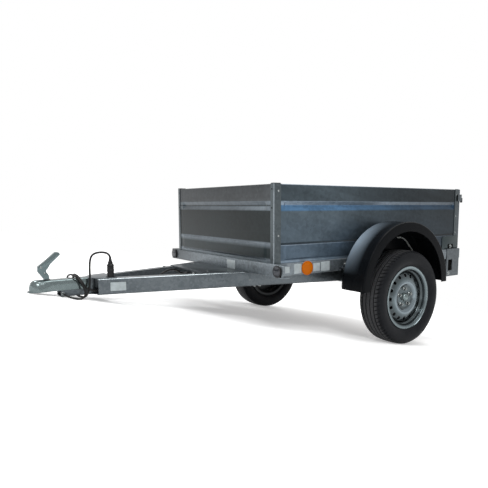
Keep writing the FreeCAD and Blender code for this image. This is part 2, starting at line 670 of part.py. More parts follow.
def tyre(name, side):
    body = new_body("tyre_" + name)
    wide = s.tyre_wide / 2
    bead = rim_radius - s.rim_drop + s.panel_gap
    inner = s.rim_wide / 2 - s.rim_wall - s.panel_gap
    flange = rim_radius + s.panel_gap
    rise = s.tyre_radius - flange
    outside = [(wide * across, flange + rise * up) for across, up in TYRE_SHARES]
    half = [(inner, bead), (inner, flange)] + outside
    turned(body, mirrored([(-across, radius) for across, radius in half] + half[::-1], side))
    at_wheel(body, side)


# Mudguards
def mudguard(name, side):
    """Half a drum over the wheel: crown, rounded shoulder, side wall, and a deeper wall inside the tyre."""
    body = new_body("mudguard_" + name)
    wall = s.guard_wall
    top = s.tyre_radius + s.guard_clear
    inner = wheel_place - s.tyre_wide / 2 - s.guard_tuck
    outer = wheel_place + s.tyre_wide / 2 + s.guard_over
    shoulder = s.guard_shoulder
    bend = [(outer - shoulder + shoulder * x, top - shoulder + shoulder * y) for x, y in GUARD_BEND_SHARES]
    under = [(across - wall, radius - wall) for across, radius in bend]
    points = [(inner, top - s.guard_lip), (inner, top)] + bend
    points += [(outer, bend[-1][1] - s.guard_side), (outer - wall, bend[-1][1] - s.guard_side)] + under[::-1]
    points += [(inner + wall, top - wall), (inner + wall, top - s.guard_lip)]
    turned(body, mirrored(points, side), half_turn=True)
    centre = vector(s.guard_ahead, 0, s.tyre_radius + s.guard_raise)
    body.Placement = FreeCAD.Placement(centre, FreeCAD.Rotation())


def mudguard_stays(name, side):
    """Two bars on the rail, each with a tab up behind the guard's inner wall."""
    body = new_body("mudguard_stays_" + name)
    near = rail_half + s.panel_gap
    edge = wheel_place - s.tyre_wide / 2 - s.guard_tuck - s.panel_gap
    reach = s.tyre_radius + s.guard_clear - s.stay_reach
    level = beam_low + s.stay_wide / 2
    for way in (-1, 1):
        ahead = s.guard_ahead + reach * way
        limits = (ahead - s.stay_wide / 2, ahead + s.stay_wide / 2)
        block(body, limits, (near * side, edge * side), (level, level + s.stay_thick))
        block(body, limits, (near * side, (near + s.stay_thick) * side),
              (level - s.stay_tab / 2, level + s.stay_thick))
        block(body, limits, (edge * side, (edge - s.stay_thick) * side), (level, level + s.stay_tab / 2))


# Lights
def lamp_bracket(name, side):
    """Side plate on the rail's outer face, joggled in to the box above it, with a lamp carrier across."""
    body = new_body("lamp_bracket_" + name)
    wall = s.bracket_wall
    low = bracket_low
    front = bracket_rear + s.bracket_long
    near = rail_half + s.panel_gap
    far = near + wall
    over = panel_plane + s.step_out + s.panel_gap
    pad(body, "XZ_Plane", across_from(side, near, far), wall,
        [(bracket_rear, low), (front, low), (front, s.box_floor), (bracket_rear, s.box_floor)])
    block(body, (bracket_rear, front), (over * side, far * side),
          (s.box_floor + s.panel_gap, s.box_floor + wall))
    block(body, (bracket_rear, front), (near * side, far * side), (beam_low, s.box_floor + wall))
    pad(body, "XZ_Plane", across_from(side, over, over + wall), wall,
        [(bracket_rear, s.box_floor + s.panel_gap),
         (bracket_rear + s.bracket_top_long, s.box_floor + s.panel_gap),
         (bracket_rear + s.bracket_top_long, s.box_floor + s.bracket_top_high),
         (bracket_rear, s.box_floor + s.bracket_top_high)])
    slot = bracket_rear + s.slot_inset
    pocket(body, "XZ_Plane", across_from(side, near, near), s.bracket_long,
           [(slot, low + s.slot_rise), (slot + s.slot_long, low + s.slot_rise),
            (slot + s.slot_long, low + s.slot_rise + s.slot_high), (slot, low + s.slot_rise + s.slot_high)])
    carrier = bracket_rear + s.carrier_inset
    inside = near - s.lamp_wide - s.lamp_round * 2
    block(body, (carrier, carrier + wall), (inside * side, far * side), (low, beam_low - s.axle_plate))


def lights():
    """Tail lamps on their carriers, clear reflectors on the front beam, amber ones on the rails."""
    lamps = new_body("tail_lamps")
    front = new_body("front_reflectors")
    amber = new_body("side_reflectors")
    back = bracket_rear + s.carrier_inset - s.panel_gap
    low = bracket_low + s.lamp_rise
    near = rail_half + s.panel_gap
    outer = near - s.lamp_round
    for side in SIDES.values():
        block(lamps, (back - s.lamp_deep, back), ((outer - s.lamp_wide) * side, outer * side),
              (low, low + s.lamp_high))
        pad(front, "YZ_Plane", beam_front + s.panel_gap, s.reflector_thick,
            circles=[((beam_half - s.reflector_inset) * side, lights_level, s.reflector_radius)])
        round_bar(amber, s.box_front - s.side_reflector_back, lights_level, s.side_reflector_radius, side,
                  near, near + s.side_reflector_thick)


# Plug, parked in its holder on the left arm, and the two cords
def plug():
    """Holder with its foot on the adaptor's top plate, and the plug standing in its mouth."""
    holder = new_body("plug_holder")
    foot = beam_low + s.panel_gap + s.adaptor_wall + s.panel_gap
    wide = s.holder_radius + s.holder_foot
    block(holder, (holder_ahead - wide, holder_ahead + wide), (holder_place - wide, holder_place + wide),
          (foot, foot + s.holder_foot))
    pad(holder, "XY_Plane", foot, s.holder_long, circles=[(holder_ahead, holder_place, s.holder_radius)])
    body = new_body("plug")
    start = foot + s.holder_long + s.panel_gap
    for long, radius in ((s.plug_long, s.plug_radius), (s.plug_long + s.plug_taper, s.plug_neck_radius),
                         (s.plug_long + s.plug_taper + s.plug_tail_long, s.plug_tail_radius)):
        pad(body, "XY_Plane", start, long, circles=[(holder_ahead, holder_place, radius)])
    return start + s.plug_long + s.plug_taper + s.plug_tail_long


def rounded(points):
    """Straight runs through the points, with a tangent arc at each turn between them."""
    edges = []
    last = points[0]
    for before, here, after in zip(points, points[1:], points[2:]):
        back = before - here
        ahead = after - here
        bend = (math.pi - back.getAngle(ahead)) / 2
        radius = CORD_BEND_SHARE * min(back.Length, ahead.Length) / math.tan(bend)
        cut = radius * math.tan(bend)
        back.normalize()
        ahead.normalize()
        start = here + back * cut
        end = here + ahead * cut
        inward = back + ahead
        inward.normalize()
        middle = here + inward * (radius / math.cos(bend) - radius)
        edges.append(Part.LineSegment(last, start).toShape())
        edges.append(Part.Arc(start, middle, end).toShape())
        last = end
    edges.append(Part.LineSegment(last, points[-1]).toShape())
    return Part.Wire(edges)


def cord(label, points, radius):
    """A round cord swept along its rounded route."""
    route = doc.addObject("Part::Feature", label + "_route")
    route.Shape = rounded(points)
    section = doc.addObject("Part::Circle", label + "_section")
    section.setExpression("Radius", radius.text)
    turn = FreeCAD.Rotation(vector(0, 0, 1), points[1] - points[0])
    section.Placement = FreeCAD.Placement(points[0], turn)
    sweep = doc.addObject("Part::Sweep", label)
    sweep.Sections = [section]
    sweep.Spine = (route, [])
    sweep.Solid = True
    pieces.append(sweep)


def cords(tail_top):
    foot = vector(adaptor_neck, 0, adaptor_low)
    lead = [vector(holder_ahead, holder_place, tail_top + s.panel_gap)]
    lead += [foot + vector(*point) for point in LEAD_ROUTE]
    gland = gusset_front + s.gland_long + s.panel_gap
    cord("electric_lead", lead + [vector(gland, 0, gland_level)], s.lead_radius)
    eye_x = adaptor_nose - s.cord_eye_inset
    eye_y = s.adaptor_half + s.cord_eye_long + s.panel_gap
    cable = [vector(eye_x, eye_y, cord_eye_level)] + [foot + vector(*point) for point in SAFETY_ROUTE]
    cord("safety_cable", cable + [vector(eye_x, -eye_y, cord_eye_level)], s.safety_radius)


for name, side in SIDES.items():
    drawbar_arm(name, side)
drawbar_gusset()
coupling_adaptor()
coupling_head()
coupling_handle()
chassis()
box()
corner_posts()
tailgate()
latches()
axle()
for name, side in SIDES.items():
    swing_arm(name, side)
    hub(name, side)
    rim(name, side)
    tyre(name, side)
    mudguard(name, side)
    mudguard_stays(name, side)
    lamp_bracket(name, side)
lights()
cords(plug())
doc.recompute()


def parking():
    """Nose-down placement about the axle line, then the origin to the middle of the footprint."""
    ahead = number(adaptor_nose)
    radius = number(s.tyre_radius)
    rise = number(adaptor_low) - radius
    angle = math.degrees(math.asin(radius / math.hypot(ahead, rise)) + math.atan2(rise, ahead))
    turn = FreeCAD.Rotation(vector(0, 1, 0), angle)
    centre = vector(0, 0, radius)
    lean = FreeCAD.Placement(centre - turn.multVec(centre), turn)
    front = lean.multVec(vector(ball_ahead + s.head_nose, 0, head_low + s.tongue_high)).x
    rear = lean.multVec(vector(bracket_rear, 0, bracket_low)).x
    middle = FreeCAD.Placement(vector(-(front + rear) / 2, 0, 0), FreeCAD.Rotation())
    print("parked nose down by %.3f degrees, shift %.3f" % (angle, -(front + rear) / 2))
    return middle.multiply(lean)


parked = parking()
for piece in pieces:
    piece.Placement = parked.multiply(piece.Placement)
doc.recompute()

for item in doc.Objects:
    if "Invalid" in item.State or "Error" in item.State:
        raise RuntimeError("%s failed: %s" % (item.Label, item.State))

os.makedirs("parts", exist_ok=True)
for piece in pieces:
    shape = piece.Shape
    if shape.isNull() or not shape.isValid() or len(shape.Solids) < 1:
        raise RuntimeError("%s has no valid shape" % piece.Label)
    shape.exportStep("parts/%s.step" % piece.Label)
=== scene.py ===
import json
import math
from functools import cache

import bmesh
import bpy
import numpy as np
from bpy.props import FloatProperty, FloatVectorProperty, IntProperty
from mathutils import Matrix, Vector


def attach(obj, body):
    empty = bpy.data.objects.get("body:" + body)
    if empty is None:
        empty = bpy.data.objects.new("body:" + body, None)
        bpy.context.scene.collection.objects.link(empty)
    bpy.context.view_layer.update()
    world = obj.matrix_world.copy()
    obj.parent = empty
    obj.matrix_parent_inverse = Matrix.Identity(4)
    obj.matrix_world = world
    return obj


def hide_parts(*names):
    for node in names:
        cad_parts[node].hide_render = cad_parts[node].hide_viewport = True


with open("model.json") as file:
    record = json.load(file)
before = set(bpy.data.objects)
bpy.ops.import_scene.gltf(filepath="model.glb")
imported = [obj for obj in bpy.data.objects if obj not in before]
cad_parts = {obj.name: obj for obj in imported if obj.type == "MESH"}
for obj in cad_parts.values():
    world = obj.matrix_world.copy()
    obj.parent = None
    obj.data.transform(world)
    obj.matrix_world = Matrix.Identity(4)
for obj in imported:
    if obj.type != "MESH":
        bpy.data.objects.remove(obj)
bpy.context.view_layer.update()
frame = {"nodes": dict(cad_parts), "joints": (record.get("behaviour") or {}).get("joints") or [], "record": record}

bl_info = {
    "name": "Utility trailer",
    "version": (1, 0, 0),
    "blender": (4, 5, 0),
    "location": "3D View > Sidebar > Trailer",
    "description": "Dresses the packed box trailer: sheets, drawbar, wheels, guards, lights and cords",
    "category": "Add Mesh",
}

# Shapes are worked out in millimetres on the level trailer: +X to the tow ball, +Y left, +Z up, with
# the origin on the ground below the wheels. The record says how far the parked trailer leans.
MM = 0.001
WHEEL = next(joint for joint in frame["joints"] if joint["name"] == "wheel_left_spin")["pos_m"]
FLOOR_UP = next(mount for mount in frame["record"]["mounts"] if mount["name"] == "load_floor")["axis"]
LEAN = math.atan2(FLOOR_UP[0], FLOOR_UP[2])
TURN = np.array([[math.cos(LEAN), 0, math.sin(LEAN)], [0, 1, 0], [-math.sin(LEAN), 0, math.cos(LEAN)]])
CENTRE = (WHEEL[0], 0.0, WHEEL[2])
AHEAD, LEFT, UP = np.eye(3)
SIDES = (("left", 1), ("right", -1))
STEEL = "galvanised_steel hole_shadow fastener_steel"

# Levels and planes shared by several pieces
BOX_FRONT, BOX_REAR, BOX_TOP, BOX_LOW, BOX_HALF = 828.0, -792.0, 912.0, 507.0, 530.0
PANEL, POST_TOP, GATE_OUT, GATE_IN, RAIL_FACE = 527.2, 914.0, -791.5, -774.2, 545.3
BEAM_LOW, BEAM_MIDDLE, BEAM_WALL, BEAM_FRONT, BEAM_HALF, RAIL_HALF = 441.0, 474.0, 3.0, 836.0, 616.0, 545.0
ARM_LOW, ARM_FRONT, ARM_REAR, ARM_SLOPE = 360.0, 1575.0, 170.0, 0.27473
ARM_TURN = math.atan(ARM_SLOPE)
HINGE, PLATE = (-800.0, 509.0), (441.3, 445.3)
SUNK = 0.1  # how deep a fastener's foot sits in its sheet
TYRE_R, WHEEL_Y = 273.5, 666.5
GUARD_X, GUARD_Z = 30.0, 344.0
NECK, NOSE, BALL, HEAD_LOW = 1606.0, 1743.0, 1836.0, 394.0
LEVER_FOOT = (BALL, 448.6)
EYE_X, EYE_Z = 1734.0, 378.35
HOLDER_X, HOLDER_Y, TAIL_TOP = 1508.0, 68.406, 537.9
GLAND = (1053.3, 0.0, 420.0)

# Middle lines of the two cords: as in the part's source, from the adaptor's neck, in millimetres, but laid
# closer over the coupling's neck
CORD_FOOT = (NECK, 0, 363.0)
LEAD_ROUTE = ((-98, 68, 188), (-84, 63, 205), (-50, 58, 210), (-16, 55, 202), (-2, 55, 178), (2, 56, 130),
              (2, 58, 70), (9, 60, 24), (22, 45, -13), (34, 0, -15), (43, -45, -12), (50, -61, 22),
              (53, -60, 70), (57, -34, 97), (59, 2, 100), (55, 36, 96), (42, 60, 70), (24, 63, 34),
              (-14, 57, 17), (-62, 58, 16), (-120, 76, 17), (-180, 91, 15), (-234, 109, 18),
              (-290, 107, 36), (-344, 88, 66), (-400, 62, 88), (-455, 36, 92), (-500, 10, 76), (-528, 0, 57))
SAFETY_ROUTE = ((128, 66, 15), (112, 84, 4), (78, 87, -8), (50, 84, -12), (32, 80, 4), (34, 75, 34),
                (50, 70, 70), (63, 52, 93), (74, 16, 100), (76, -22, 100), (80, -54, 87), (87, -68, 56),
                (96, -80, 20), (116, -82, 12), (128, -66, 15))


def parked(points):
    """Level-trailer millimetres to the parked frame in metres: turned nose down about the axle line by the
    lean, then moved so that the wheel centres meet the record's."""
    level = np.asarray(points, float) * MM - (0, 0, WHEEL[2])
    return level @ TURN.T + CENTRE


def arm_y(x):
    """Outer face of the left drawbar arm at a distance ahead of the axle: a straight taper."""
    return 80.0 + (ARM_FRONT - x) * ARM_SLOPE


# Outlines
def distinct(line, closed):
    """The line without points that repeat their neighbour."""
    gap = np.linalg.norm(line - np.roll(line, 1, 0), axis=1)
    if not closed:
        gap[0] = 1
    return line[gap > 1e-3]


def rounded(corners, radius, steps=4, closed=True):
    """Each corner becomes the arc that touches both its sides: a rational quadratic curve between the two
    touching points, with the corner as its control point and the sine of the half angle as its weight."""
    corner = np.asarray(corners, float)
    radius = np.broadcast_to(np.asarray(radius, float), (len(corner),))
    back, ahead = np.roll(corner, 1, 0) - corner, np.roll(corner, -1, 0) - corner
    back_long, ahead_long = np.linalg.norm(back, axis=1), np.linalg.norm(ahead, axis=1)
    back, ahead = back / back_long[:, None], ahead / ahead_long[:, None]
    half = np.arccos(np.clip((back * ahead).sum(1), -1, 1)) / 2
    cut = np.minimum(radius / np.tan(np.maximum(half, 1e-6)), 0.49 * np.minimum(back_long, ahead_long))
    cut = np.where(half > math.pi / 2 - 1e-4, 0, cut)
    share = np.linspace(0, 1, steps + 1)[:, None]
    first, middle, last = (1 - share) ** 2, 2 * share * (1 - share), share ** 2
    weight = np.sin(half)[:, None, None]
    start, end = (corner + back * cut[:, None])[:, None], (corner + ahead * cut[:, None])[:, None]
    curve = (first * start + middle * weight * corner[:, None] + last * end) / (first + middle * weight + last)
    if closed:
        return distinct(curve.reshape(-1, 2), True)
    return distinct(np.concatenate([corner[:1], curve[1:-1].reshape(-1, 2), corner[-1:]]), False)


def smooth(knots, steps=4):
    """A Catmull-Rom curve through the knots: between two knots, a cubic whose slopes are half the chord
    between their neighbours."""
    knots = np.asarray(knots, float)
    held = np.concatenate([2 * knots[:1] - knots[1:2], knots, 2 * knots[-1:] - knots[-2:-1]])
    a, b, c, d = (held[i:len(held) - 3 + i, None] for i in range(4))
    t = np.linspace(0, 1, steps, endpoint=False)[None, :, None]
    curve = 0.5 * (2 * b + (c - a) * t + (2 * a - 5 * b + 4 * c - d) * t ** 2 + (3 * b - a - 3 * c + d) * t ** 3)
    return np.concatenate([curve.reshape(-1, knots.shape[1]), knots[-1:]])


def beside(line, gap, closed=False):
    """The line set off to its right by a gap, with the corners mitred."""
    run = np.roll(line, -1, -2) - line if closed else np.diff(line, axis=-2)
    out = np.stack([run[..., 1], -run[..., 0]], -1)
    out = out / np.maximum(np.linalg.norm(out, axis=-1, keepdims=True), 1e-9)
    if closed:
        before, after = np.roll(out, 1, -2), out
    else:
        before = np.concatenate([out[..., :1, :], out], -2)
        after = np.concatenate([out, out[..., -1:, :]], -2)
    mitre = (before + after) / np.maximum(1 + (before * after).sum(-1, keepdims=True), 0.2)
    return line + mitre * gap


def folded(line, thick):
    """Closed outline of a sheet: one face along the line, the other set off to its right."""
    return np.concatenate([line, beside(line, thick)[..., ::-1, :]], -2)


def strip(corners, radius, thick, steps=4):
    """Closed outline of a sheet bent at an open line's corners."""
    return folded(rounded(corners, radius, steps, closed=False), thick)


def round_outline(radius, count, middle):
    turn = np.linspace(0, 2 * math.pi, count, endpoint=False)
    return np.stack([np.cos(turn), np.sin(turn)], 1) * radius + middle


def box_outline(low, high):
    return np.array([(low[0], low[1]), (high[0], low[1]), (high[0], high[1]), (low[0], high[1])], float)


def plate(low, high, radius, steps=4):
    """The rectangle between two corners, with its corners rounded."""
    return rounded(box_outline(low, high), radius, steps)


def midpoints(outline):
    """Where the middle of each side of a closed outline lies."""
    return (outline + np.roll(outline, -1, 0)) / 2


# Grids
def placed(section, station, order):
    """Section points (a, b) repeated at each station c; order names the level axes of a, b and c."""
    station = np.asarray(station, float)
    section = np.asarray(section, float)
    section = np.broadcast_to(section, (len(station),) + section.shape[-2:])
    grid = np.empty(section.shape[:2] + (3,))
    for axis, part in zip(order, (section[..., 0], section[..., 1], station[:, None])):
        grid[..., "xyz".index(axis)] = part
    return grid


def spun(outline, middle, count, span=(0, 360)):
    """The outline (across, radius) turned about the level Y axis through middle: X is the radius times the
    sine of the turn, Z its cosine, and Y the distance across."""
    whole = span[1] - span[0] >= 360
    turn = np.radians(np.linspace(*span, count, endpoint=not whole))[:, None]
    across, radius = outline[:, 0], outline[:, 1]
    return np.stack([middle[0] + radius * np.sin(turn), middle[1] + across + 0 * turn,
                     middle[2] + radius * np.cos(turn)], -1)


def ring_on(axis, turn, helper):
    """Unit axis, and the directions at right angles to it at each turn, counted from its cross product with a
    helper axis: the cosine times that direction plus the sine times the third one."""
    axis = np.asarray(axis, float) / np.linalg.norm(axis)
    other = np.cross(axis, helper if abs(axis @ helper) < 0.9 else AHEAD)
    other /= np.linalg.norm(other)
    return axis, np.cos(turn)[:, None] * other + np.sin(turn)[:, None] * np.cross(axis, other)


def spun_on(outline, foot, axis, count=32):
    """The outline (radius, height) turned about any axis that starts at foot."""
    axis, ring = ring_on(axis, np.linspace(0, 2 * math.pi, count, endpoint=False), LEFT)
    outline = np.asarray(outline, float)
    return np.asarray(foot, float) + ring[:, None] * outline[None, :, :1] + axis * outline[None, :, 1:]


def linked(name, data, body):
    """The object of a mesh or curve in the scene, which rides a body and fills a material slot."""
    made = bpy.data.objects.new(name, data)
    bpy.context.scene.collection.objects.link(made)
    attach(made, body)
    return made


class Skin:
    """Surfaces gathered for one piece: their points, faces and finishes. They are given for the left side, and
    are mirrored when side is -1."""

    def __init__(self, side=1):
        self.points, self.faces, self.marks, self.count, self.side = [], [], [], 0, side

    def add(self, grid, around=False, along=False, caps=True, mark=0, keep=None):
        """Quads between neighbours of a (rows, columns, 3) grid. around joins the last column to the first,
        along the last row to the first. caps close the first and last row of a grid that goes around. mark is
        one finish, or one for each column."""
        rows, columns = grid.shape[:2]
        index = np.arange(rows * columns).reshape(rows, columns) + self.count
        near = index if along else index[:-1]
        far = np.roll(index, -1, 0) if along else index[1:]
        if around:
            quads = np.stack([near, np.roll(near, -1, 1), np.roll(far, -1, 1), far], -1)
        else:
            quads = np.stack([near[:, :-1], near[:, 1:], far[:, 1:], far[:, :-1]], -1)
        quads = quads.reshape(-1, 4)
        if keep is not None:
            quads = quads[np.ravel(keep)]
        marks = np.broadcast_to(mark, near.shape if around else (len(near), columns - 1)).ravel()
        if keep is not None:
            marks = marks[np.ravel(keep)]
        made, marks = quads.tolist(), marks.tolist()
        if around and not along and caps:
            made += [index[0][::-1].tolist(), index[-1].tolist()]
            marks += [marks[0]] * 2
        self.points.append(grid.reshape(-1, 3) * (1, self.side, 1))
        self.faces += made
        self.marks += marks
        self.count += rows * columns

    def slab(self, outline, low, high, order, bevel=0.8, mark=0):
        """A plate: its outline carried from low to high, drawn in by a rounded bevel at both faces."""
        outline = np.asarray(outline, float)
        ahead = np.roll(outline, -1, 0)
        if (outline[:, 0] * ahead[:, 1] - ahead[:, 0] * outline[:, 1]).sum() > 0:
            outline = outline[::-1]
        bevel = min(bevel, abs(high - low) * 0.45)
        turn = np.radians([90, 50, 0])
        drawn = bevel * (1 - np.cos(turn))
        depth = bevel * (1 - np.sin(turn))
        near = [beside(outline, gap, True) for gap in drawn]
        way = 1 if high > low else -1
        station = np.concatenate([low + way * depth, high - way * depth[::-1]])
        self.extruded(np.stack(near + near[::-1]), station, order, mark)

    def extruded(self, outline, station, order, mark=0):
        """The outline carried through its stations, with closed ends."""
        self.add(placed(outline, station, order), around=True, mark=mark)

    def tube(self, outer, inner, low, high, order):
        """The space between two outlines with as many points, from low to high."""
        ring = [placed(part, [at], order)[0] for part, at in
                ((outer, low), (outer, high), (inner, high), (inner, low))]
        self.add(np.stack(ring), around=True, along=True)

    def turned(self, outline, foot, axis, count=32, mark=0):
        """A round body from its (radius, height) outline, which starts and ends on the axis."""
        self.add(spun_on(outline, foot, axis, count), along=True, mark=mark)

    def disc(self, foot, axis, radius, high=0.35, count=20):
        """A plain round pin, or a dark disc that stands for a hole."""
        self.turned([(0, 0), (radius, 0), (radius, high), (0, high)], foot, axis, count, 1)

    def bolt(self, foot, axis, across=13, high=5, washer=True, mark=0, nut=False):
        """A hexagon head with a chamfer: the lesser of the hexagon's radius at each turn and a circle that
        shrinks towards the top, on a round washer."""
        turn = np.radians(np.arange(0, 360, 10.0))
        hexagon = across / 2 / np.cos(np.mod(turn, math.pi / 3) - math.pi / 6)
        level = np.array([0, 0.1, 0.72, 1.0, 1.0])
        limit = across / 2 * np.array([1.2, 1.2, 1.13, 0.96, 0.0])
        start = 1.6 if washer else 0
        radius = np.minimum(hexagon[:, None], limit[None])
        axis, ring = ring_on(axis, turn, UP)
        lift = axis * (start + high * level)[None, :, None]
        grid = np.asarray(foot, float) + ring[:, None] * radius[..., None] + lift
        base = np.asarray(foot, float) + axis * start + 0 * grid[:, :1]
        self.add(np.concatenate([base, grid], 1), along=True, mark=mark)
        if washer:
            wide = across * 0.95
            self.turned([(0, 0), (wide, 0), (wide, 1.1), (wide - 0.5, 1.6), (0, 1.6)], foot, axis, 28, mark)
        if nut:
            thread = across * 0.3
            self.turned([(0, high), (thread, high), (thread, high + 4), (thread - 1, high + 5), (0, high + 5)],
                        foot, axis, 16, mark)

    def rivet(self, foot, axis, radius=4.0, high=2.4, mark=0):
        """A domed head: a quarter ellipse turned about its axis."""
        turn = np.radians([90, 72, 50, 25, 0])
        dome = np.stack([radius * np.sin(turn), high * np.cos(turn)], 1)
        self.turned(np.concatenate([[(0, 0)], dome]), foot, axis, 20, mark)

    def piece(self, name, finishes, stands_for="", body="chassis", crease=32, weld=True):
        """The mesh object: points parked, doubles merged, faces turned outwards, edges over the crease sharp. The
        names of its finishes stand in the order of their marks, and the node that it replaces comes after them."""
        mesh = bpy.data.meshes.new(name)
        mesh.from_pydata(parked(np.concatenate(self.points)), [], self.faces)
        mesh.polygons.foreach_set("material_index", self.marks)
        work = bmesh.new()
        work.from_mesh(mesh)
        if weld:
            bmesh.ops.remove_doubles(work, verts=work.verts, dist=2e-6)
        bmesh.ops.recalc_face_normals(work, faces=work.faces)
        work.to_mesh(mesh)
        work.free()
        mesh.shade_smooth()
        mesh.set_sharp_from_angle(angle=math.radians(crease))
        for finish in finishes.split():
            mesh.materials.append(FINISHES[finish])
        made = linked(name, mesh, body)
        if stands_for:
            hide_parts(stands_for)
        return made


# Finishes
FINISHES = {}


def plug_in(tree, made, values):
    """Links or sets the inputs of a node."""
    for key, value in values.items():
        if isinstance(value, bpy.types.NodeSocket):
            tree.links.new(value, made.inputs[key])
        else:
            made.inputs[key].default_value = value


def node(tree, kind, inputs, **settings):
    """A shader node with its settings, and its inputs linked or set."""
    made = tree.nodes.new("ShaderNode" + kind)
    for key, value in settings.items():
        setattr(made, key, value)
    plug_in(tree, made, inputs)
    return made


def mixed(tree, share, first, second):
    """Colour between first and second by a share."""
    return node(tree, "Mix", {0: share, 6: first, 7: second}, data_type="RGBA").outputs[2]


def ranged(tree, value, low, high, to_low=0.0, to_high=1.0):
    """A value carried from one span to another."""
    return node(tree, "MapRange", {"Value": value, "From Min": low, "From Max": high, "To Min": to_low,
                                   "To Max": to_high}).outputs["Result"]


def maths(tree, operation, first, second=0.0):
    return node(tree, "Math", {0: first, 1: second}, operation=operation).outputs[0]


def vectors(tree, operation, first, second=(0, 0, 0), output="Vector"):
    return node(tree, "VectorMath", {0: first, 1: second}, operation=operation).outputs[output]


def noise(tree, place, scale, detail, rough=0.5):
    made = node(tree, "TexNoise", {"Vector": place, "Scale": scale, "Detail": detail, "Roughness": rough})
    return made.outputs["Fac"]


def spread(tree, value, most=1.0):
    """Noise, which mostly lies between 0.3 and 0.7, carried to the span from 0 to most."""
    return ranged(tree, value, 0.3, 0.7, 0.0, most)


def stretched(tree, place, scale):
    return node(tree, "Mapping", {"Vector": place, "Scale": scale}).outputs[0]


def rgba(colour, share=1.0):
    """The colour, or a grey given as one number, times a share, with full cover."""
    return tuple(np.broadcast_to(np.array(colour, float), 3) * share) + (1.0,)


def new_group(name, inputs, outputs):
    """A node group with its place input, other inputs whose kinds follow from their values, and its outputs, of
    which only one named Color is coloured: the group, its inputs' sockets and its output node."""
    group = bpy.data.node_groups.new(name, "ShaderNodeTree")
    kinds = {1: "NodeSocketFloat", 3: "NodeSocketVector", 4: "NodeSocketColor"}
    for label, value in {"Vector": (0, 0, 0), **inputs}.items():
        made = group.interface.new_socket(name=label, in_out="INPUT", socket_type=kinds[np.size(value)])
        made.default_value = value
    for label in outputs.split():
        group.interface.new_socket(name=label, in_out="OUTPUT", socket_type=kinds[4 if label == "Color" else 1])
    return group, group.nodes.new("NodeGroupInput").outputs, group.nodes.new("NodeGroupOutput")


@cache
def zinc_group():
    """Hot-dipped zinc: crystals as random cells, slow clouds, and drawn streaks that run one way."""
    group, given, out = new_group("zinc_coat", {
        "Dark": (0.1, 0.1, 0.1, 1), "Light": (0.2, 0.2, 0.2, 1), "Crystal Scale": 90.0, "Crystal Share": 0.16,
        "Streak Scale": (3, 3, 60), "Polish": 0.35}, "Color Roughness Height")
    place = given["Vector"]
    crystals = node(group, "TexVoronoi", {"Vector": place, "Scale": given["Crystal Scale"]})
    cell = node(group, "SeparateColor", {"Color": crystals.outputs["Color"]}).outputs[0]
    clouds = noise(group, place, 2.4, 2.0)
    streaks = noise(group, stretched(group, place, given["Streak Scale"]), 1.0, 4.0)
    share = maths(group, "MULTIPLY", cell, given["Crystal Share"])
    for layer, most in ((clouds, 0.5), (streaks, 0.34)):
        share = maths(group, "ADD", share, spread(group, layer, most))
    height = maths(group, "MULTIPLY", maths(group, "ADD", cell, noise(group, place, 420.0, 2.0)), 0.5)
    plug_in(group, out, {"Color": mixed(group, share, given["Dark"], given["Light"]), "Height": height,
                         "Roughness": maths(group, "ADD", given["Polish"],
                                            ranged(group, share, 0.0, 1.0, -0.04, 0.08))})
    return group


@cache
def level_group():
    """Where a point lies on the level trailer: how far ahead of the wheels' centres, and how high above the
    ground, each the dot product of its way from those centres with a direction of the level trailer."""
    group, given, out = new_group("level_place", {}, "Ahead Height")
    way = vectors(group, "SUBTRACT", given["Vector"], CENTRE)
    for label, axis, start in (("Ahead", 0, 0.0), ("Height", 2, TYRE_R * MM)):
        along = vectors(group, "DOT_PRODUCT", way, TURN[:, axis], "Value")
        plug_in(group, out, {label: maths(group, "ADD", along, start)})
    return group


@cache
def dust_group():
    """Road dust: a broken mask that gathers in patches and specks."""
    group, given, out = new_group("road_dust", {"Scale": 8.0, "Amount": 0.3}, "Mask")
    patches = noise(group, given["Vector"], given["Scale"], 6.0, 0.65)
    specks = noise(group, given["Vector"], 260.0, 2.0)
    mask = maths(group, "MULTIPLY", ranged(group, patches, 0.35, 0.75), ranged(group, specks, 0.35, 0.65, 0.4))
    plug_in(group, out, {"Mask": maths(group, "MULTIPLY", mask, given["Amount"])})
    return group


@cache
def grain_group():
    """Moulded grain: fine pebbles with a slower swell, for plastic and rubber."""
    group, given, out = new_group("moulded_grain", {"Scale": 600.0}, "Height")
    pebbles = node(group, "TexVoronoi", {"Vector": given["Vector"], "Scale": given["Scale"]}).outputs["Distance"]
    swell = maths(group, "MULTIPLY", noise(group, given["Vector"], 24.0, 3.0), 0.8)
    plug_in(group, out, {"Height": maths(group, "ADD", maths(group, "MULTIPLY", pebbles, 0.6), swell)})
    return group


@cache
def prism_group():
    """Reflector prisms: close cells whose edges stay dark and whose middles catch light."""
    group, given, out = new_group("reflector_prisms", {
        "Cell Scale": 190.0, "Edge": (0, 0, 0, 1), "Middle": (1, 1, 1, 1)}, "Color Height")
    cells = node(group, "TexVoronoi", {"Vector": given["Vector"], "Scale": given["Cell Scale"],
                                       "Randomness": 0.12}, feature="DISTANCE_TO_EDGE")
    share = ranged(group, cells.outputs["Distance"], 0.02, 0.3)
    plug_in(group, out, {"Color": mixed(group, share, given["Edge"], given["Middle"]), "Height": share})
    return group


def shared(tree, maker, place, **values):
    """Places a shared group in a material, with its own values."""
    made = tree.nodes.new("ShaderNodeGroup")
    made.node_tree = maker()
    plug_in(tree, made, {"Vector": place, **{key.replace("_", " "): value for key, value in values.items()}})
    return made.outputs


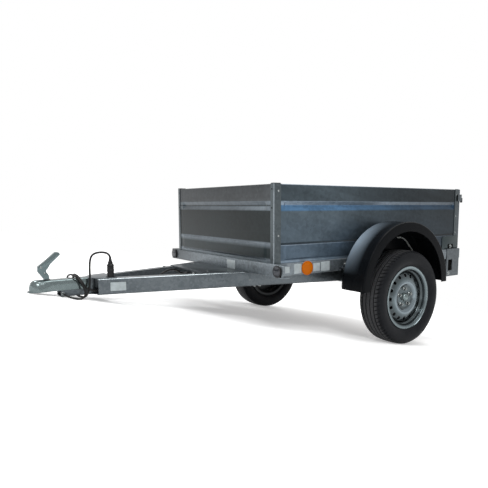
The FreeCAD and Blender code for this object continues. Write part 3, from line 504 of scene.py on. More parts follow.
def new_finish(name, **constants):
    """The tree of a new material and the place on the object; constants go on the shader's own sockets."""
    material = FINISHES[name] = bpy.data.materials.new(name)
    material.use_nodes = True
    tree = material.node_tree
    plug_in(tree, tree.nodes["Principled BSDF"], {key.replace("_", " "): value for key, value in constants.items()})
    return tree, tree.nodes.new("ShaderNodeTexCoord").outputs["Object"]


def dress(tree, colour, rough, height, strength, distance):
    """Gives the shader its colour, its roughness, and a normal bumped by a height."""
    bump = node(tree, "Bump", {"Strength": strength, "Distance": distance, "Height": height})
    plug_in(tree, tree.nodes["Principled BSDF"], {"Base Color": colour, "Roughness": rough,
                                                  "Normal": bump.outputs[0]})


def toned(tree, value, tones):
    """A colour ramp over a length in metres, from (millimetres, colour) or (millimetres, share) pairs."""
    first, last = tones[0][0], tones[-1][0]
    ramp = node(tree, "ValToRGB", {"Fac": ranged(tree, value, first * MM, last * MM)})
    stops = ramp.color_ramp.elements
    stops[1].position = 1.0
    for length, tone in tones[1:-1]:
        stops.new((length - first) / (last - first))
    for stop, (length, tone) in zip(stops, tones):
        stop.position, stop.color = (length - first) / (last - first), rgba(tone)
    return ramp.outputs["Color"]


def axle_distance(tree, place):
    """How far a point lies from the wheels' axis: its way from their centres without the part along the axle."""
    way = vectors(tree, "SUBTRACT", place, CENTRE)
    return vectors(tree, "LENGTH", vectors(tree, "MULTIPLY", way, (1, 0, 1)), output="Value")


def offset_left(tree, place):
    return node(tree, "SeparateXYZ", {0: place}).outputs[1]


def coated(tree, place, tones, dark, light, crystal, cells, streak, polish, bump, distance=0.0006):
    """Dresses a material in the zinc coat, its colour times each of the tones."""
    coat = shared(tree, zinc_group, place, Dark=rgba(dark), Light=rgba(light), Crystal_Scale=crystal,
                  Crystal_Share=cells, Streak_Scale=np.broadcast_to(np.array(streak, float), 3), Polish=polish)
    colour = coat["Color"]
    for tone in tones:
        colour = vectors(tree, "MULTIPLY", tone, colour)
    dress(tree, colour, coat["Roughness"], coat["Height"], bump, distance)


def zinc_finish(name, dark, light, crystal, streak, polish, metal, bump, cells=0.16, painted_shade=()):
    """Plain zinc, darkened in painted shade across the trailer by the shares given as (millimetres to the left, share).
    """
    tree, place = new_finish(name, Metallic=metal)
    tones = [toned(tree, offset_left(tree, place), painted_shade)] if painted_shade else []
    coated(tree, place, tones, dark, light, crystal, cells, streak, polish, bump)


def sheet_finish(name, tones, graded):
    """A pressed sheet with painted highlights and painted shade in bands, which the tones give from the sheet's foot
    up,
    as (level in millimetres, colour): light edges at the groove and the step, a bluish painted reflection in the groove
    and painted shade in the fold above the step. Painted shade also darkens it along the trailer by the shares given as
    (millimetres ahead of the wheels, share), of a coat that is drawn twice as bright."""
    tree, place = new_finish(name, Metallic=0.6, Specular_IOR_Level=0.2)
    level = shared(tree, level_group, place)
    tones = [toned(tree, level["Height"], tones), toned(tree, level["Ahead"], graded)]
    coated(tree, place, tones, 0.95, 2.8, 60.0, 0.24, (0.9, 0.9, 22), 0.32, 0.03, 0.0005)


def wheel_finish(name, tones):
    """Silver lacquer over a pressed wheel: its tone follows the distance from the axle in painted highlights and
    painted shade, light on the disc's ridge and the rim's flange, dark in the folds, at the hand holes and at the
    disc's edge."""
    tree, place = new_finish(name, Metallic=0.88, Specular_IOR_Level=0.2)
    tones = [toned(tree, axle_distance(tree, place), tones)]
    coated(tree, place, tones, 0.86, 1.1, 500.0, 0.16, 5, 0.17, 0.03)


def moulded_finish(name, colour, rough, grain, dusty, amount, bump, gloss):
    """Black plastic or rubber with its moulded grain, under dust."""
    tree, place = new_finish(name, Specular_IOR_Level=gloss)
    mask = shared(tree, dust_group, place, Scale=7.0, Amount=amount)["Mask"]
    dress(tree, mixed(tree, mask, rgba(colour), rgba(dusty)), ranged(tree, mask, 0.0, 0.5, rough, rough + 0.25),
          shared(tree, grain_group, place, Scale=grain)["Height"], bump, 0.0005)


def guard_finish(name, colour, highlight_tint):
    """Black moulded plastic with a painted highlight on the crown in front, next to the box: a mask that rises ahead,
    with the level and towards the middle of the trailer, a little weaker under dust."""
    tree, place = new_finish(name, Specular_IOR_Level=0.05)
    level = shared(tree, level_group, place)
    across = maths(tree, "ABSOLUTE", offset_left(tree, place))
    dust = shared(tree, dust_group, place, Scale=7.0, Amount=0.5)["Mask"]
    share = ranged(tree, level["Ahead"], 0.06, 0.27)
    for factor in (ranged(tree, level["Height"], 0.43, 0.6), ranged(tree, across, 0.692, 0.585),
                   ranged(tree, dust, 0.0, 0.5, 1.0, 0.8)):
        share = maths(tree, "MULTIPLY", share, factor)
    dress(tree, mixed(tree, share, rgba(colour), rgba(highlight_tint)), ranged(tree, dust, 0.0, 0.5, 0.26, 0.4),
          shared(tree, grain_group, place, Scale=900.0)["Height"], 0.05, 0.0005)


def tyre_finish(name, colour, tread):
    """Sidewall rubber, with the tread's face greyer from wear: a mask of the distance from the wheel's axis."""
    tree, place = new_finish(name, Specular_IOR_Level=0.07)
    graded = ranged(tree, axle_distance(tree, place), 0.2675, 0.2715)
    mask = shared(tree, dust_group, place, Scale=14.0, Amount=0.22)["Mask"]
    side = mixed(tree, mask, rgba(colour), (0.06, 0.06, 0.062, 1.0))
    dress(tree, mixed(tree, graded, side, rgba(tread)), ranged(tree, mask, 0.0, 0.4, 0.42, 0.75),
          shared(tree, grain_group, place, Scale=480.0)["Height"], 0.22, 0.0005)


def lens_finish(name, edge, middle, cell):
    tree, place = new_finish(name, IOR=1.49, Specular_IOR_Level=0.08, Coat_Weight=0.03, Coat_Roughness=0.06)
    prisms = shared(tree, prism_group, place, Cell_Scale=cell, Edge=edge, Middle=middle)
    dress(tree, prisms["Color"], 0.12, prisms["Height"], 0.35, 0.0008)


def plywood_finish(name, colour):
    """Film-faced plywood: a pressed wire mesh over brown film, with scuffs along the floor."""
    tree, place = new_finish(name)
    weave, cross = (node(tree, "TexWave", {"Vector": place, "Scale": 95.0, "Distortion": 0.0},
                         bands_direction=axis).outputs["Fac"] for axis in "XY")
    mask = shared(tree, dust_group, place, Scale=5.0, Amount=0.5)["Mask"]
    fibre = noise(tree, stretched(tree, place, (3.0, 60.0, 3.0)), 2.0, 6.0)
    deep = mixed(tree, spread(tree, fibre), rgba(colour, 0.6), rgba(colour, 1.3))
    dress(tree, mixed(tree, mask, deep, (0.2, 0.17, 0.14, 1.0)), ranged(tree, mask, 0.0, 0.5, 0.42, 0.7),
          maths(tree, "MAXIMUM", weave, cross), 0.3, 0.0006)


def print_finish(name, colour):
    """A blank sticker: faint yellowing and a satin film."""
    tree, place = new_finish(name)
    fade = noise(tree, place, 40.0, 4.0)
    dress(tree, mixed(tree, spread(tree, fade), rgba(colour), rgba(colour, 0.72)), 0.35, fade, 0.05, 0.0004)


def make_finishes(colours):
    def tones(kind, stops):
        """Stops given as length and name in turn, with the settings' colours of that kind."""
        lengths, names = stops.split()[::2], stops.split()[1::2]
        return [(float(length), getattr(colours, kind + name)) for length, name in zip(lengths, names)]

    # The side and front sheets' tones are painted light by level: painted highlights at the edges of groove and step, a
    # bluish painted reflection in the groove, painted shade in the fold above the step; the side sheets also darken
    # towards the rear in painted shade.
    sheet_finish("side_zinc", tones(
        "side_", "500 low 514 edge 522 step 596 step 599 edge 602 fold 609 fold 614 middle 690 middle 772 upper "
        "779 groove 803 groove 809 edge 823 edge 828 top 907 top 912 edge"),
        [(-792, 0.13), (200, 0.37), (430, 0.61), (828, 0.4)])
    sheet_finish("front_zinc", tones(
        "front_", "500 low 525 edge 534 step 580 step 603 edge 611 edge 617 middle 774 middle 781 edge 797 edge "
        "803 middle 809 edge 823 edge 828 top 912 top"), [(-792, 0.5), (828, 0.5)])
    # Painted highlights and painted shade round the axle: the ridge and the flange light, the folds, hand holes and
    # disc edge dark.
    wheel_finish("wheel_silver", tones(
        "", "20 disc_dish 52 disc_dish 66 disc_edge 76 disc_ridge 94 disc_ridge 106 disc_dish 122 disc_edge "
        "158 disc_edge 168 disc_dish 176 rim_flange 190 rim_flange"))
    rail = colours.rail_dark, colours.rail_light, 90.0, (3, 3, 24), 0.34, 0.8, 0.06, 0.5
    for row in (
            ("galvanised_sheet", colours.sheet_dark, colours.sheet_light, 60.0, (0.9, 0.9, 22), 0.27, 0.9, 0.03),
            ("galvanised_steel", colours.steel_dark, colours.steel_light, 90.0, (4, 4, 20), 0.3, 0.9, 0.06, 0.5),
            ("post_zinc", colours.post_dark, colours.post_light, 90.0, (20, 20, 4), 0.3, 0.9, 0.05, 0.5),
            ("rail_zinc",) + rail,
            # The front beam falls into painted shade towards its right end.
            ("beam_zinc",) + rail + ([(-616, 0.22), (-400, 0.5), (-100, 1.0), (616, 1.0)],),
            ("bracket_zinc", (0.026, 0.036, 0.038), (0.05, 0.065, 0.068), 90.0, 6, 0.3, 0.9, 0.06),
            ("zinc_plated_steel", colours.zinc_dark, colours.zinc_light, 160.0, 6, 0.2, 0.95, 0.02),
            # A pale finish for the painted highlight on the drawbar arms' upper folds.
            ("fold_zinc", (0.3, 0.34, 0.36), (0.5, 0.55, 0.57), 120.0, 30, 0.26, 0.8, 0.04),
            # Pale painted light for the guard stays' braces.
            ("stay_zinc", (0.3, 0.32, 0.31), (0.46, 0.48, 0.46), 90.0, 6, 0.4, 0.25, 0.05),
            ("lever_steel", (0.07, 0.1, 0.105), (0.16, 0.2, 0.205), 160.0, 6, 0.22, 0.95, 0.02),
            ("fastener_steel", (0.16, 0.17, 0.17), (0.3, 0.32, 0.32), 400.0, 20, 0.24, 0.95, 0.05),
            # Painted shade for the wheels' inner barrel and the lining behind the disc.
            ("wheel_barrel", (0.02, 0.022, 0.024), (0.035, 0.038, 0.04), 300.0, 5, 0.45, 0.6, 0.05)):
        zinc_finish(*row)
    guard_finish("guard_plastic", colours.guard, colours.guard_highlight)
    for name, tone, rough, grain, dust, *rest in (
            ("black_plastic", (0.009, 0.009, 0.01), 0.36, 800.0, (0.04, 0.04, 0.04), 0.12, 0.16, 0.2),
            ("cord_rubber", (0.008, 0.008, 0.008), 0.42, 900.0, (0.03, 0.028, 0.026), 0.18, 0.15, 0.2),
            ("hole_shadow", (0.003, 0.003, 0.003), 0.9, 300.0, (0.006, 0.006, 0.006), 0.1, 0.1, 0.05),
            ("lamp_housing", (0.012, 0.012, 0.013), 0.34, 500.0, (0.04, 0.04, 0.04), 0.1, 0.15, 0.25)):
        moulded_finish(name, tone, rough, grain, dust, *rest)
    tyre_finish("tyre_rubber", colours.tyre_side, colours.tyre_tread)
    lens_finish("amber_lens", rgba(colours.amber, 0.6), rgba(colours.amber), 170.0)
    lens_finish("clear_lens", (0.02, 0.022, 0.026, 1), (0.16, 0.165, 0.18, 1), 150.0)
    lens_finish("red_lens", (0.12, 0.003, 0.003, 1), (0.42, 0.012, 0.01, 1), 190.0)
    plywood_finish("plywood", (0.11, 0.055, 0.03))
    print_finish("blank_label", colours.label)


# Box
def pressed_line(low):
    """Outer face of a pressed sheet from the hem's inner edge down to low, as (out, level): hem, flat, the
    groove's trapezoid, flat, and the step that stands out below it, each corner rounded."""
    return rounded([(-18, 900), (-18, BOX_TOP), (0, BOX_TOP), (0, 824), (-10, 806), (-10, 798), (0, 780), (0, 610),
                    (5, 603), (5, 530), (0, 523), (0, low)], [0, 4, 4, 5, 7, 7, 5, 8, 5, 5, 5, 0], 5, closed=False)


def pressed_sheet(skin, plane, inward, ends, low, order):
    """A sheet with hem, groove and step. Along its length the pressing's depth is a share that rises from 0
    at the margin to 1 over the run-out, as three times the square of the way less twice its cube."""
    line = pressed_line(low)
    start, end = ends
    length, margin, run_out = end - start, 42, 16
    way = np.concatenate([[0, 38], np.linspace(margin, margin + run_out, 7), np.linspace(70, length / 2, 5)])
    way = np.concatenate([way, length - way[-2::-1]])
    share = np.clip((np.minimum(way, length - way) - margin) / run_out, 0, 1)
    share = share ** 2 * (3 - 2 * share)
    section = np.repeat(line[None], len(way), 0)
    face = np.arange(len(line))[None] > np.argmax(line[:, 0] > -1e-6)
    section[..., 0] = np.where(face, section[..., 0] * share[:, None], section[..., 0])
    sheet = folded(section, 1.6)
    sheet[..., 0] = plane - inward * sheet[..., 0]
    skin.extruded(sheet, start + way, order)


def box_sheets():
    """The two side sheets and the front sheet."""
    for name, side in SIDES:
        skin = Skin(side)
        pressed_sheet(skin, PANEL, -1, (-771, 805), BOX_LOW, "yzx")
        skin.piece("side_sheet_" + name, "side_zinc", "side_panel_" + name)
    skin = Skin()
    pressed_sheet(skin, 825.2, -1, (-508.5, 508.5), BOX_LOW, "xzy")
    skin.piece("front_sheet", "front_zinc", "front_panel")


def corner_posts(look):
    """L sections folded along their line and carried upright; the front pair wears a painted highlight at the fold,
    in the rails' zinc, and black caps."""
    steel, thick, seat = "post_zinc hole_shadow fastener_steel rail_zinc", 2.5, BOX_HALF - 0.2
    caps = Skin()
    for name, side in SIDES:
        skin = Skin(side)
        outline = strip([(782, BOX_HALF), (BOX_FRONT, BOX_HALF), (BOX_FRONT, 502)], [0, look.fold, 0], thick, 5)
        ahead, left = midpoints(outline).T
        # Painted highlight: the front fold takes the rails' lighter zinc.
        fold = np.minimum(np.abs(ahead - BOX_FRONT), np.abs(left - BOX_HALF)) > 0.02
        fold &= (ahead > BOX_FRONT - look.fold) & (left > BOX_HALF - look.fold)
        skin.extruded(outline, [BOX_LOW, POST_TOP], "xyz", np.where(fold, 3, 0))
        for level in (886, 791):
            skin.disc((BOX_FRONT - SUNK, 514, level), AHEAD, 4.2)
        for level in (876, 649):
            skin.rivet((797, seat, level), LEFT, 5.5, 2.6, 2)
        skin.piece("front_corner_" + name, steel, "front_post_" + name)
        caps.side = side
        caps.slab(plate((782, 502), (BOX_FRONT, BOX_HALF), 5), POST_TOP, POST_TOP + 3, "xyz", 1.4)
        skin = Skin(side)
        outline = strip([(-773.7, 505), (-773.7, BOX_HALF), (-733.7, BOX_HALF)], [0, look.fold, 0], thick, 5)
        skin.extruded(outline, [BOX_LOW, POST_TOP], "xyz")
        for level in (876, 730, 620):
            skin.rivet((-750, seat, level), LEFT, 4.5, 2.0, 2)
        skin.piece("rear_corner_" + name, steel, "rear_post_" + name)
    caps.piece("post_caps_black", "black_plastic", "post_caps")


def drop_gate():
    """Tailgate: the same pressing across the rear, with returns at its sides and foot and two rolled knuckles."""
    skin = Skin()
    pressed_sheet(skin, BOX_REAR, 1, (-PANEL, PANEL), 512, "xzy")
    skin.slab(box_outline((GATE_OUT, -526), (GATE_IN, 526)), 512.2, 514, "xyz", 0.6)
    for skin.side in (1, -1):
        skin.slab(box_outline((GATE_OUT, 513), (GATE_IN, 910)), PANEL, PANEL - 2, "xzy", 0.6)
        skin.tube(round_outline(7, 28, HINGE), round_outline(4.2, 28, HINGE), 440, 480, "xzy")
        leaf = strip([(-806.5, 511), (-804, 520), (-793.6, 524), (-793.6, 552)], [0, 4, 4, 0], 2.4)
        skin.extruded(leaf, [440, 480], "xzy")
        for place in (450, 470):
            skin.rivet((-793.6, place, 541), -AHEAD, 4, 2.2, 1)
    skin.piece("gate_sheet", "galvanised_sheet fastener_steel", "tailgate", "gate")


def gate_latches():
    """A strap folded round the gate's corner with a hooked lever, a pivot and a black grip."""
    for name, side in SIDES:
        skin = Skin(side)
        strap = strip([(-802, 504), (-802, 538), (-758, 538)], [0, 4, 0], 2.6)
        skin.extruded(strap, [832, 878], "xyz")
        skin.slab(plate((-799.2, 508), (-792.4, 534), 2, 3), 838, 872, "xyz", 1.0)
        skin.slab(plate((-811, 522), (-802.2, 538), 3.2), 823, 855, "xyz", 2.2, 1)
        skin.rivet((-801.8, 514, 862), -AHEAD, 5, 3)
        skin.rivet((-770, 537.9, 855), LEFT, 4.5, 2.0)
        skin.piece("gate_latch_" + name, "galvanised_steel black_plastic", "latch_" + name,
                   "gate")


# Chassis and drawbar
def channel(web, flange, fold):
    """Outline of a C section as (across, level): flange, web, flange."""
    line = [(web + flange, BEAM_LOW), (web, BEAM_LOW), (web, BOX_LOW), (web + flange, BOX_LOW)]
    return strip(line, [0, fold, fold, 0], BEAM_WALL * np.sign(flange), 5)


def chassis_beams(look):
    """C sections: the two rails, and the beams in front, over the axle and behind with the gate's hinge ears."""
    steel, inside = "rail_zinc hole_shadow fastener_steel", (-504.7, 504.7)
    for name, side in SIDES:
        skin = Skin(side)
        skin.extruded(channel(RAIL_HALF, -40, look.fold), [-789, 790.7], "yzx")
        for x in (330, -330):
            skin.bolt((x, RAIL_HALF - SUNK, BEAM_MIDDLE), LEFT, mark=2)
        skin.piece("box_rail_" + name, steel, "side_rail_" + name)
    skin = Skin()
    skin.extruded(channel(BEAM_FRONT, -45, look.fold), [-BEAM_HALF, BEAM_HALF], "xzy")
    for y in (-596, 596):
        skin.disc((BEAM_FRONT - SUNK, y, 452), AHEAD, 7)
    skin.piece("front_cross_beam", "beam_zinc hole_shadow", "front_beam")
    skin = Skin()
    skin.extruded(channel(215, -60, look.fold), inside, "xzy")
    skin.piece("middle_cross_beam", "rail_zinc", "cross_beam")
    skin = Skin()
    skin.extruded(channel(-789, 45, look.fold), inside, "xzy")
    ear = rounded([(-807, 509), (-803, 516), (-797, 516), (-793, 509), (-786, 502), (-786, 481), (-800, 481)], 3)
    for skin.side in (1, -1):
        for place in (435.9, 480.1):
            skin.slab(ear, place, place + 4, "xzy", 0.6)
        skin.turned([(0, 0), (3.9, 0.6), (3.9, 50), (0, 50.6)], (HINGE[0], 434.5, HINGE[1]), LEFT, 20, 2)
    skin.piece("rear_cross_beam", steel, "rear_beam")


def drawbar(look):
    """Two tapering C sections, the gusset plate between them and the bolts that hold them. The arms' upper
    folds carry a painted highlight."""
    steel, fold = STEEL + " fold_zinc", look.arm_fold
    for name, side in SIDES:
        skin = Skin(side)
        outline = strip([(55, ARM_LOW), (0, ARM_LOW), (0, BEAM_LOW), (55, BEAM_LOW)], [0, fold, fold, 0], BEAM_WALL, 6)
        station = np.array([ARM_REAR, 420, 700, 980, 1260, ARM_FRONT])
        grid = placed(outline, station, "yzx")
        grid[..., 1] = arm_y(station)[:, None] - grid[..., 1]
        across, level = midpoints(outline).T
        # Painted highlight along the upper fold of each arm.
        bright = (across < fold * 0.8) & (level > BEAM_LOW - fold * 0.5) & (level < BEAM_LOW - 0.1)
        skin.add(grid, around=True, mark=np.where(bright, 3, 0))
        skin.rivet((808, arm_y(808), 397), (math.sin(ARM_TURN), math.cos(ARM_TURN), 0), 4.5, 2.0, 2)
        for x in (737, 766):
            skin.bolt((x, arm_y(x) - 28, ARM_LOW + SUNK), -UP, mark=2)
        skin.bolt((1100, arm_y(1100) - 26, BEAM_LOW - SUNK), UP, mark=2)
        skin.piece("drawbar_" + name, steel, "drawbar_arm_" + name)
    skin = Skin()
    near, front = BEAM_FRONT + 0.3, 1041.0
    wide, narrow, turned_down = arm_y(near) - BEAM_WALL, arm_y(front) - BEAM_WALL, arm_y(front) - 59
    skin.slab(rounded([(near, wide), (front, narrow), (front, -narrow), (near, -wide)], 6), *PLATE, "xyz", 1.0)
    skin.slab(plate((-turned_down, 407), (turned_down, 444), 8), front - 4, front, "yzx", 1.0)
    for x, y in ((900, 190), (1000, 160), (900, -190), (1000, -160)):
        skin.rivet((x, y, PLATE[1] - SUNK), UP, 6, 2.4, 2)
    skin.piece("gusset_plate", steel, "drawbar_gusset")


def adaptor_outline(inward, nose):
    """Corners of a plate between the arms, which narrows to the neck and runs on to the nose."""
    tail, shoulder = 1485.0, NECK - 38
    left = [(tail, arm_y(tail) - inward), (shoulder, arm_y(shoulder) - inward), (NECK, 38), (nose, 38)]
    return left + [(x, -y) for x, y in reversed(left)]


def adaptor():
    """Plates between the arms, cheeks beside the neck, and an eye each side for the cable."""
    skin = Skin()
    skin.slab(rounded(adaptor_outline(3.3, NOSE), [0, 12, 20, 6, 6, 20, 12, 0], 5), 363, 367, "xyz", 1.0)
    skin.slab(rounded(adaptor_outline(3, 1611.7), [4, 12, 10, 3, 3, 10, 12, 4], 5), *PLATE, "xyz", 1.0)
    cheek = rounded([(1576, 364), (NOSE, 364), (NOSE, 393.7), (1611.7, 393.7), (1611.7, 444.5), (1576, 444.5)],
                    [2, 5, 5, 6, 4, 4])
    eye = [(3.6, 0), (8, 0), (8, 3.2), (6.6, 4), (3.6, 4)]
    for skin.side in (1, -1):
        skin.slab(cheek, 34, 38, "xzy", 0.9)
        skin.add(spun_on(eye, (EYE_X, 38, EYE_Z), LEFT, 28), around=True, along=True, mark=2)
    skin.piece("coupling_carrier", STEEL, "coupling_adaptor")


def coupling():
    """Pressed coupling head. Each cross section is half a superellipse: its half width and height follow
    the neck and then the dome's plan circle, and its exponent falls from the boxy neck to the round dome."""
    dome_r, widening = 42, 1770
    x = np.concatenate([np.linspace(1612, 1790, 14), BALL + dome_r * np.sin(np.radians(np.linspace(-60, 89, 34)))])
    ahead = np.clip((x - widening) / (BALL - widening), 0, 1)
    ahead = ahead * ahead * (3 - 2 * ahead)
    circle = np.sqrt(np.maximum(dome_r ** 2 - (x - BALL) ** 2, 0.5))
    half = np.where(x < BALL, 35 + (dome_r - 35) * ahead, circle)
    dome = 56.5 * np.maximum(1 - np.abs((x - BALL) / 42.3) ** 2.8, 0) ** (1 / 2.8)
    rise = np.where(x < BALL, 54 + 2.5 * ahead, dome)
    share = 2 / (5.5 - 2.9 * ahead)[:, None]
    turn = np.linspace(0, math.pi, 41)[None]
    shells = []
    for inset in (0.0, 3.5):
        wide, tall = np.maximum(half - inset, 0.4)[:, None], np.maximum(rise - inset, 0.4)[:, None]
        y = wide * np.sign(np.cos(turn)) * np.abs(np.cos(turn)) ** share
        z = HEAD_LOW + tall * np.abs(np.sin(turn)) ** share
        along = x - inset * np.clip((x - BALL) / dome_r, 0, 1)
        shells.append(np.stack([along[:, None] + 0 * y, y, z], -1))
    skin = Skin()
    skin.add(np.concatenate([shells[0], shells[1][:, ::-1]], 1), around=True)
    rim = [(1700, 35.6), (1782, 36.5), (1812, 43.5), (1836, 44.5), (1860, 40), (1878, 22), (1885, 12)]
    radius = [1, 20, 20, 20, 16, 8, 6]
    lip = rounded(rim + [(x, -y) for x, y in rim[::-1]], radius + radius[::-1])
    skin.tube(lip, lip * (0.94, 0.8) + (0.06 * 1800, 0), 394.1, 397.4, "xyz")
    skin.turned([(0, 0), (9, 0), (9, 3), (6, 5), (0, 5.6)], (1790, 0, 448), UP, 24, 1)
    skin.piece("ball_coupling", "zinc_plated_steel fastener_steel", "coupling_head")

    back = [(-12.5, 25), (2, 40.5), (1, 64), (-13, 75), (-36, 93), (-60, 113), (-81, 131), (-97, 130), (-104, 119)]
    cheek = rounded([(-49, 2), (-27, 2)] + back + [(-56, 74), (-47, 58), (-34, 42), (-48, 22)],
                    [2, 3, 14, 12, 10, 20, 40, 14, 7, 7, 6, 12, 10, 8, 10]) + LEVER_FOOT
    spine = rounded([(-24, 4), (-10.5, 25)] + back[1:], [0, 14, 12, 10, 20, 40, 14, 7, 7, 0], closed=False)
    skin = Skin()
    skin.extruded(folded(spine + LEVER_FOOT, -2.8), [-12.6, -11, 11, 12.6], "xzy")
    pins = [(LEVER_FOOT[0] + ahead, LEVER_FOOT[1] + up, head) for ahead, up, head in ((-14, 61, 5.2), (-29, 33, 4.6))]
    for skin.side in (1, -1):
        skin.slab(cheek, 10.2, 13, "xzy", 0.9)
        for x, z, head in pins:
            skin.rivet((x, 12.9, z), LEFT, head, 2.2, 1)
    for x, z, _ in pins:
        skin.disc((x, -12, z), LEFT, 3, 24, 16)
    skin.piece("coupling_lever", "lever_steel fastener_steel", "coupling_handle")


# Axle
def running_gear():
    """The square axle tube with rounded corners, its feet, and trailing arms forged round boss and eye."""
    skin = Skin()
    skin.tube(plate((95, 332), (155, 392), 9, 5), plate((100, 337), (150, 387), 5, 5), -520, 520, "xzy")
    for skin.side in (1, -1):
        skin.slab(plate((65, 503), (185, 545), 5), 435, 440.9, "xyz", 1.0)
        skin.slab(rounded([(88, 386), (162, 386), (170, 437), (80, 437)], 4), 514, 520, "xzy")
        for x in (77, 173):
            skin.bolt((x, 530, 435), -UP, 15, 7, mark=2)
    skin.piece("torsion_axle", STEEL, "axle_tube")
    boss = np.array([125.0, 88.5])
    turn = np.linspace(0, 2 * math.pi, 72, endpoint=False)
    front = (np.cos(turn - math.atan2(boss[1], boss[0])) > 0.06)[:, None]
    outline = np.where(front, boss, 0) + (0, TYRE_R)
    outline = outline + np.stack([np.cos(turn), np.sin(turn)], 1) * np.where(front, 36.0, 27.0)
    for name, side in SIDES:
        skin = Skin(side)
        skin.slab(outline, 520.3, 542.3, "xzy", 3.0)
        skin.turned([(0, 0), (16, 0), (16, 4), (13, 6), (0, 6)], (125, 541.5, 362), LEFT, 32, 2)
        skin.turned([(0, 0), (24, 0), (22, 16), (14, 18), (14, 132), (12.6, 133.4), (0, 133.4)],
                    (0, 541.5, TYRE_R), LEFT, 40)
        skin.piece("trailing_arm_" + name, STEEL, "swing_arm_" + name)


# Wheels
def wheel_point(turn, radius, out):
    """Where a point of a wheel lies, from its turn, its radius and how far out it stands."""
    parts = radius * np.sin(turn), WHEEL_Y + out, TYRE_R + radius * np.cos(turn)
    return np.stack(np.broadcast_arrays(*parts), -1)


def tyre(look, name, side):
    """Closed section turned about the axle. Its radius loses the tread depth wherever a rib's groove, a
    shoulder slot or a fine sipe passes: each is a 0 to 1 profile across or around, and the deepest wins."""
    flank = smooth([(50, 166), (57.5, 167), (59.6, 178), (62, 187), (68.5, 196), (74.5, 209), (77.3, 226), (76.6, 243),
                    (73, 255), (68.5, 262.5), (62, 267.4)])
    reach = flank[:, 1]
    ribs = 0.7 * np.exp(-((reach - 199) / 1.3) ** 2) + 0.6 * np.exp(-((reach - 254) / 1.2) ** 2)
    flank[:, 0] = np.minimum(flank[:, 0] + ribs, 77.5)
    half = np.array([58, 54, 48, 42.7, 42.3, 35.7, 35.3, 31, 27, 22, 17.7, 17.3, 10.7, 10.3, 7, 3.5, 0])
    right = np.concatenate([flank, np.stack([half, TYRE_R - 3.6 * (half / 58) ** 2.2], 1)])
    outline = np.concatenate([right, (right[:-1] * (-1, 1))[::-1]])
    out, reach = outline.T
    across, crown = np.abs(out), reach > 258
    groove = np.interp(across, [10.3, 10.7, 17.3, 17.7, 35.3, 35.7, 42.3, 42.7], [0, 1, 1, 0, 0, 1, 1, 0])
    shoulder = np.interp(across, [42.6, 43.5, 66, 71, 74], [0, 1, 1, 0.55, 0])
    sipe = np.interp(across, [3, 6, 10, 10.4, 17.8, 18.5, 34.5, 35.2], [1, 1, 1, 0, 0, 1, 1, 0])
    shares = (0, 0.07, 0.1, 0.3, 0.33, 0.54, 0.56, 0.61, 0.63, 0.8)
    way = (np.arange(look.pitches)[:, None] + shares).reshape(-1, 1)
    step = np.mod(way, 1.0)
    slot = np.interp(step, [0.07, 0.1, 0.3, 0.33], [0, 1, 1, 0])
    cut = np.interp(step, [0.54, 0.56, 0.61, 0.63], [0, 1, 1, 0])
    depth = np.maximum(groove * look.tread_depth, np.maximum(slot * shoulder * 6.0, cut * sipe * 4.0)) * crown
    skew = np.where(crown, 0.8 * np.sin(out / 40 * math.pi / 2), 0)
    skin = Skin(side)
    skin.add(wheel_point((way + skew) / look.pitches * 2 * math.pi, reach - depth, out), around=True, along=True)
    skin.piece("tyre_dressed_" + name, "tyre_rubber", "tyre_" + name, "wheel_" + name, 28, weld=False)


def disc_face(radius):
    """How far out the wheel disc stands at a radius: a smooth curve through its dish, ring and centre."""
    curve = smooth([(27, 34.3), (40, 34.3), (58, 34.3), (66, 35.2), (73, 41), (80, 46.6), (88, 48.6), (98, 47.6),
                    (112, 43.6), (127.5, 38.6), (141, 31), (151, 20), (157, 8), (159.5, 2)], 6)
    return np.interp(radius, curve[:, 0], curve[:, 1])


def disc_part(skin, turn, radius, out, end=0):
    """Both faces of a part of the wheel disc, 3.5 mm apart, and the edge between them at one end."""
    faces = [wheel_point(turn, radius, out - wall) for wall in (0, 3.5)]
    for grid in (*faces, np.stack([face[end] for face in faces])):
        skin.add(grid, around=True, caps=False)


def wheel_disc(skin, look):
    """Disc of the steel wheel: sixteen sectors, each a grid between a round hand hole and the sector's edge
    (point = hole + share x (edge - hole)), and rings inside and outside them."""
    holes, ring, low, high = 16, 127.5, 110.0, 145.0
    pitch = 2 * math.pi / holes
    s = np.linspace(-1, 1, 9)
    r = np.linspace(low, high, 7)
    edge = np.concatenate([np.stack([s[:-1], 0 * s[:-1] + low], 1), np.stack([0 * r[:-1] + 1, r[:-1]], 1),
                           np.stack([s[:0:-1], 0 * s[:0:-1] + high], 1), np.stack([0 * r[:0:-1] - 1, r[:0:-1]], 1)])
    flat = np.stack([edge[:, 0] * pitch / 2 * ring, edge[:, 1] - ring], 1)
    towards = flat / np.linalg.norm(flat, axis=1, keepdims=True)
    share = np.array([0, 0.08, 0.18, 0.36, 0.65, 1])[:, None, None]
    spot = towards[None] * look.hand_hole * (1 - share) + flat[None] * share
    turn, radius = spot[..., 0] / ring, spot[..., 1] + ring
    away = np.linalg.norm(spot, axis=-1) - look.hand_hole
    out = disc_face(radius) - look.hole_lip * np.exp(-(away / 3.0) ** 2)
    for start in np.arange(holes) * pitch:
        disc_part(skin, turn + start, radius, out)
    turn = (np.arange(holes * 8) / 8 - 0.5) * pitch
    for radii, end in (([27, 30, 36, 44, 52, 58, 62, 66, 70, 74, 78, 82, 86, 92, 98, 104, low], 0),
                       ([high, 148, 151, 154, 157, 159.5], -1)):
        radii = np.array(radii)[:, None]
        disc_part(skin, turn, radii, disc_face(radii), end)


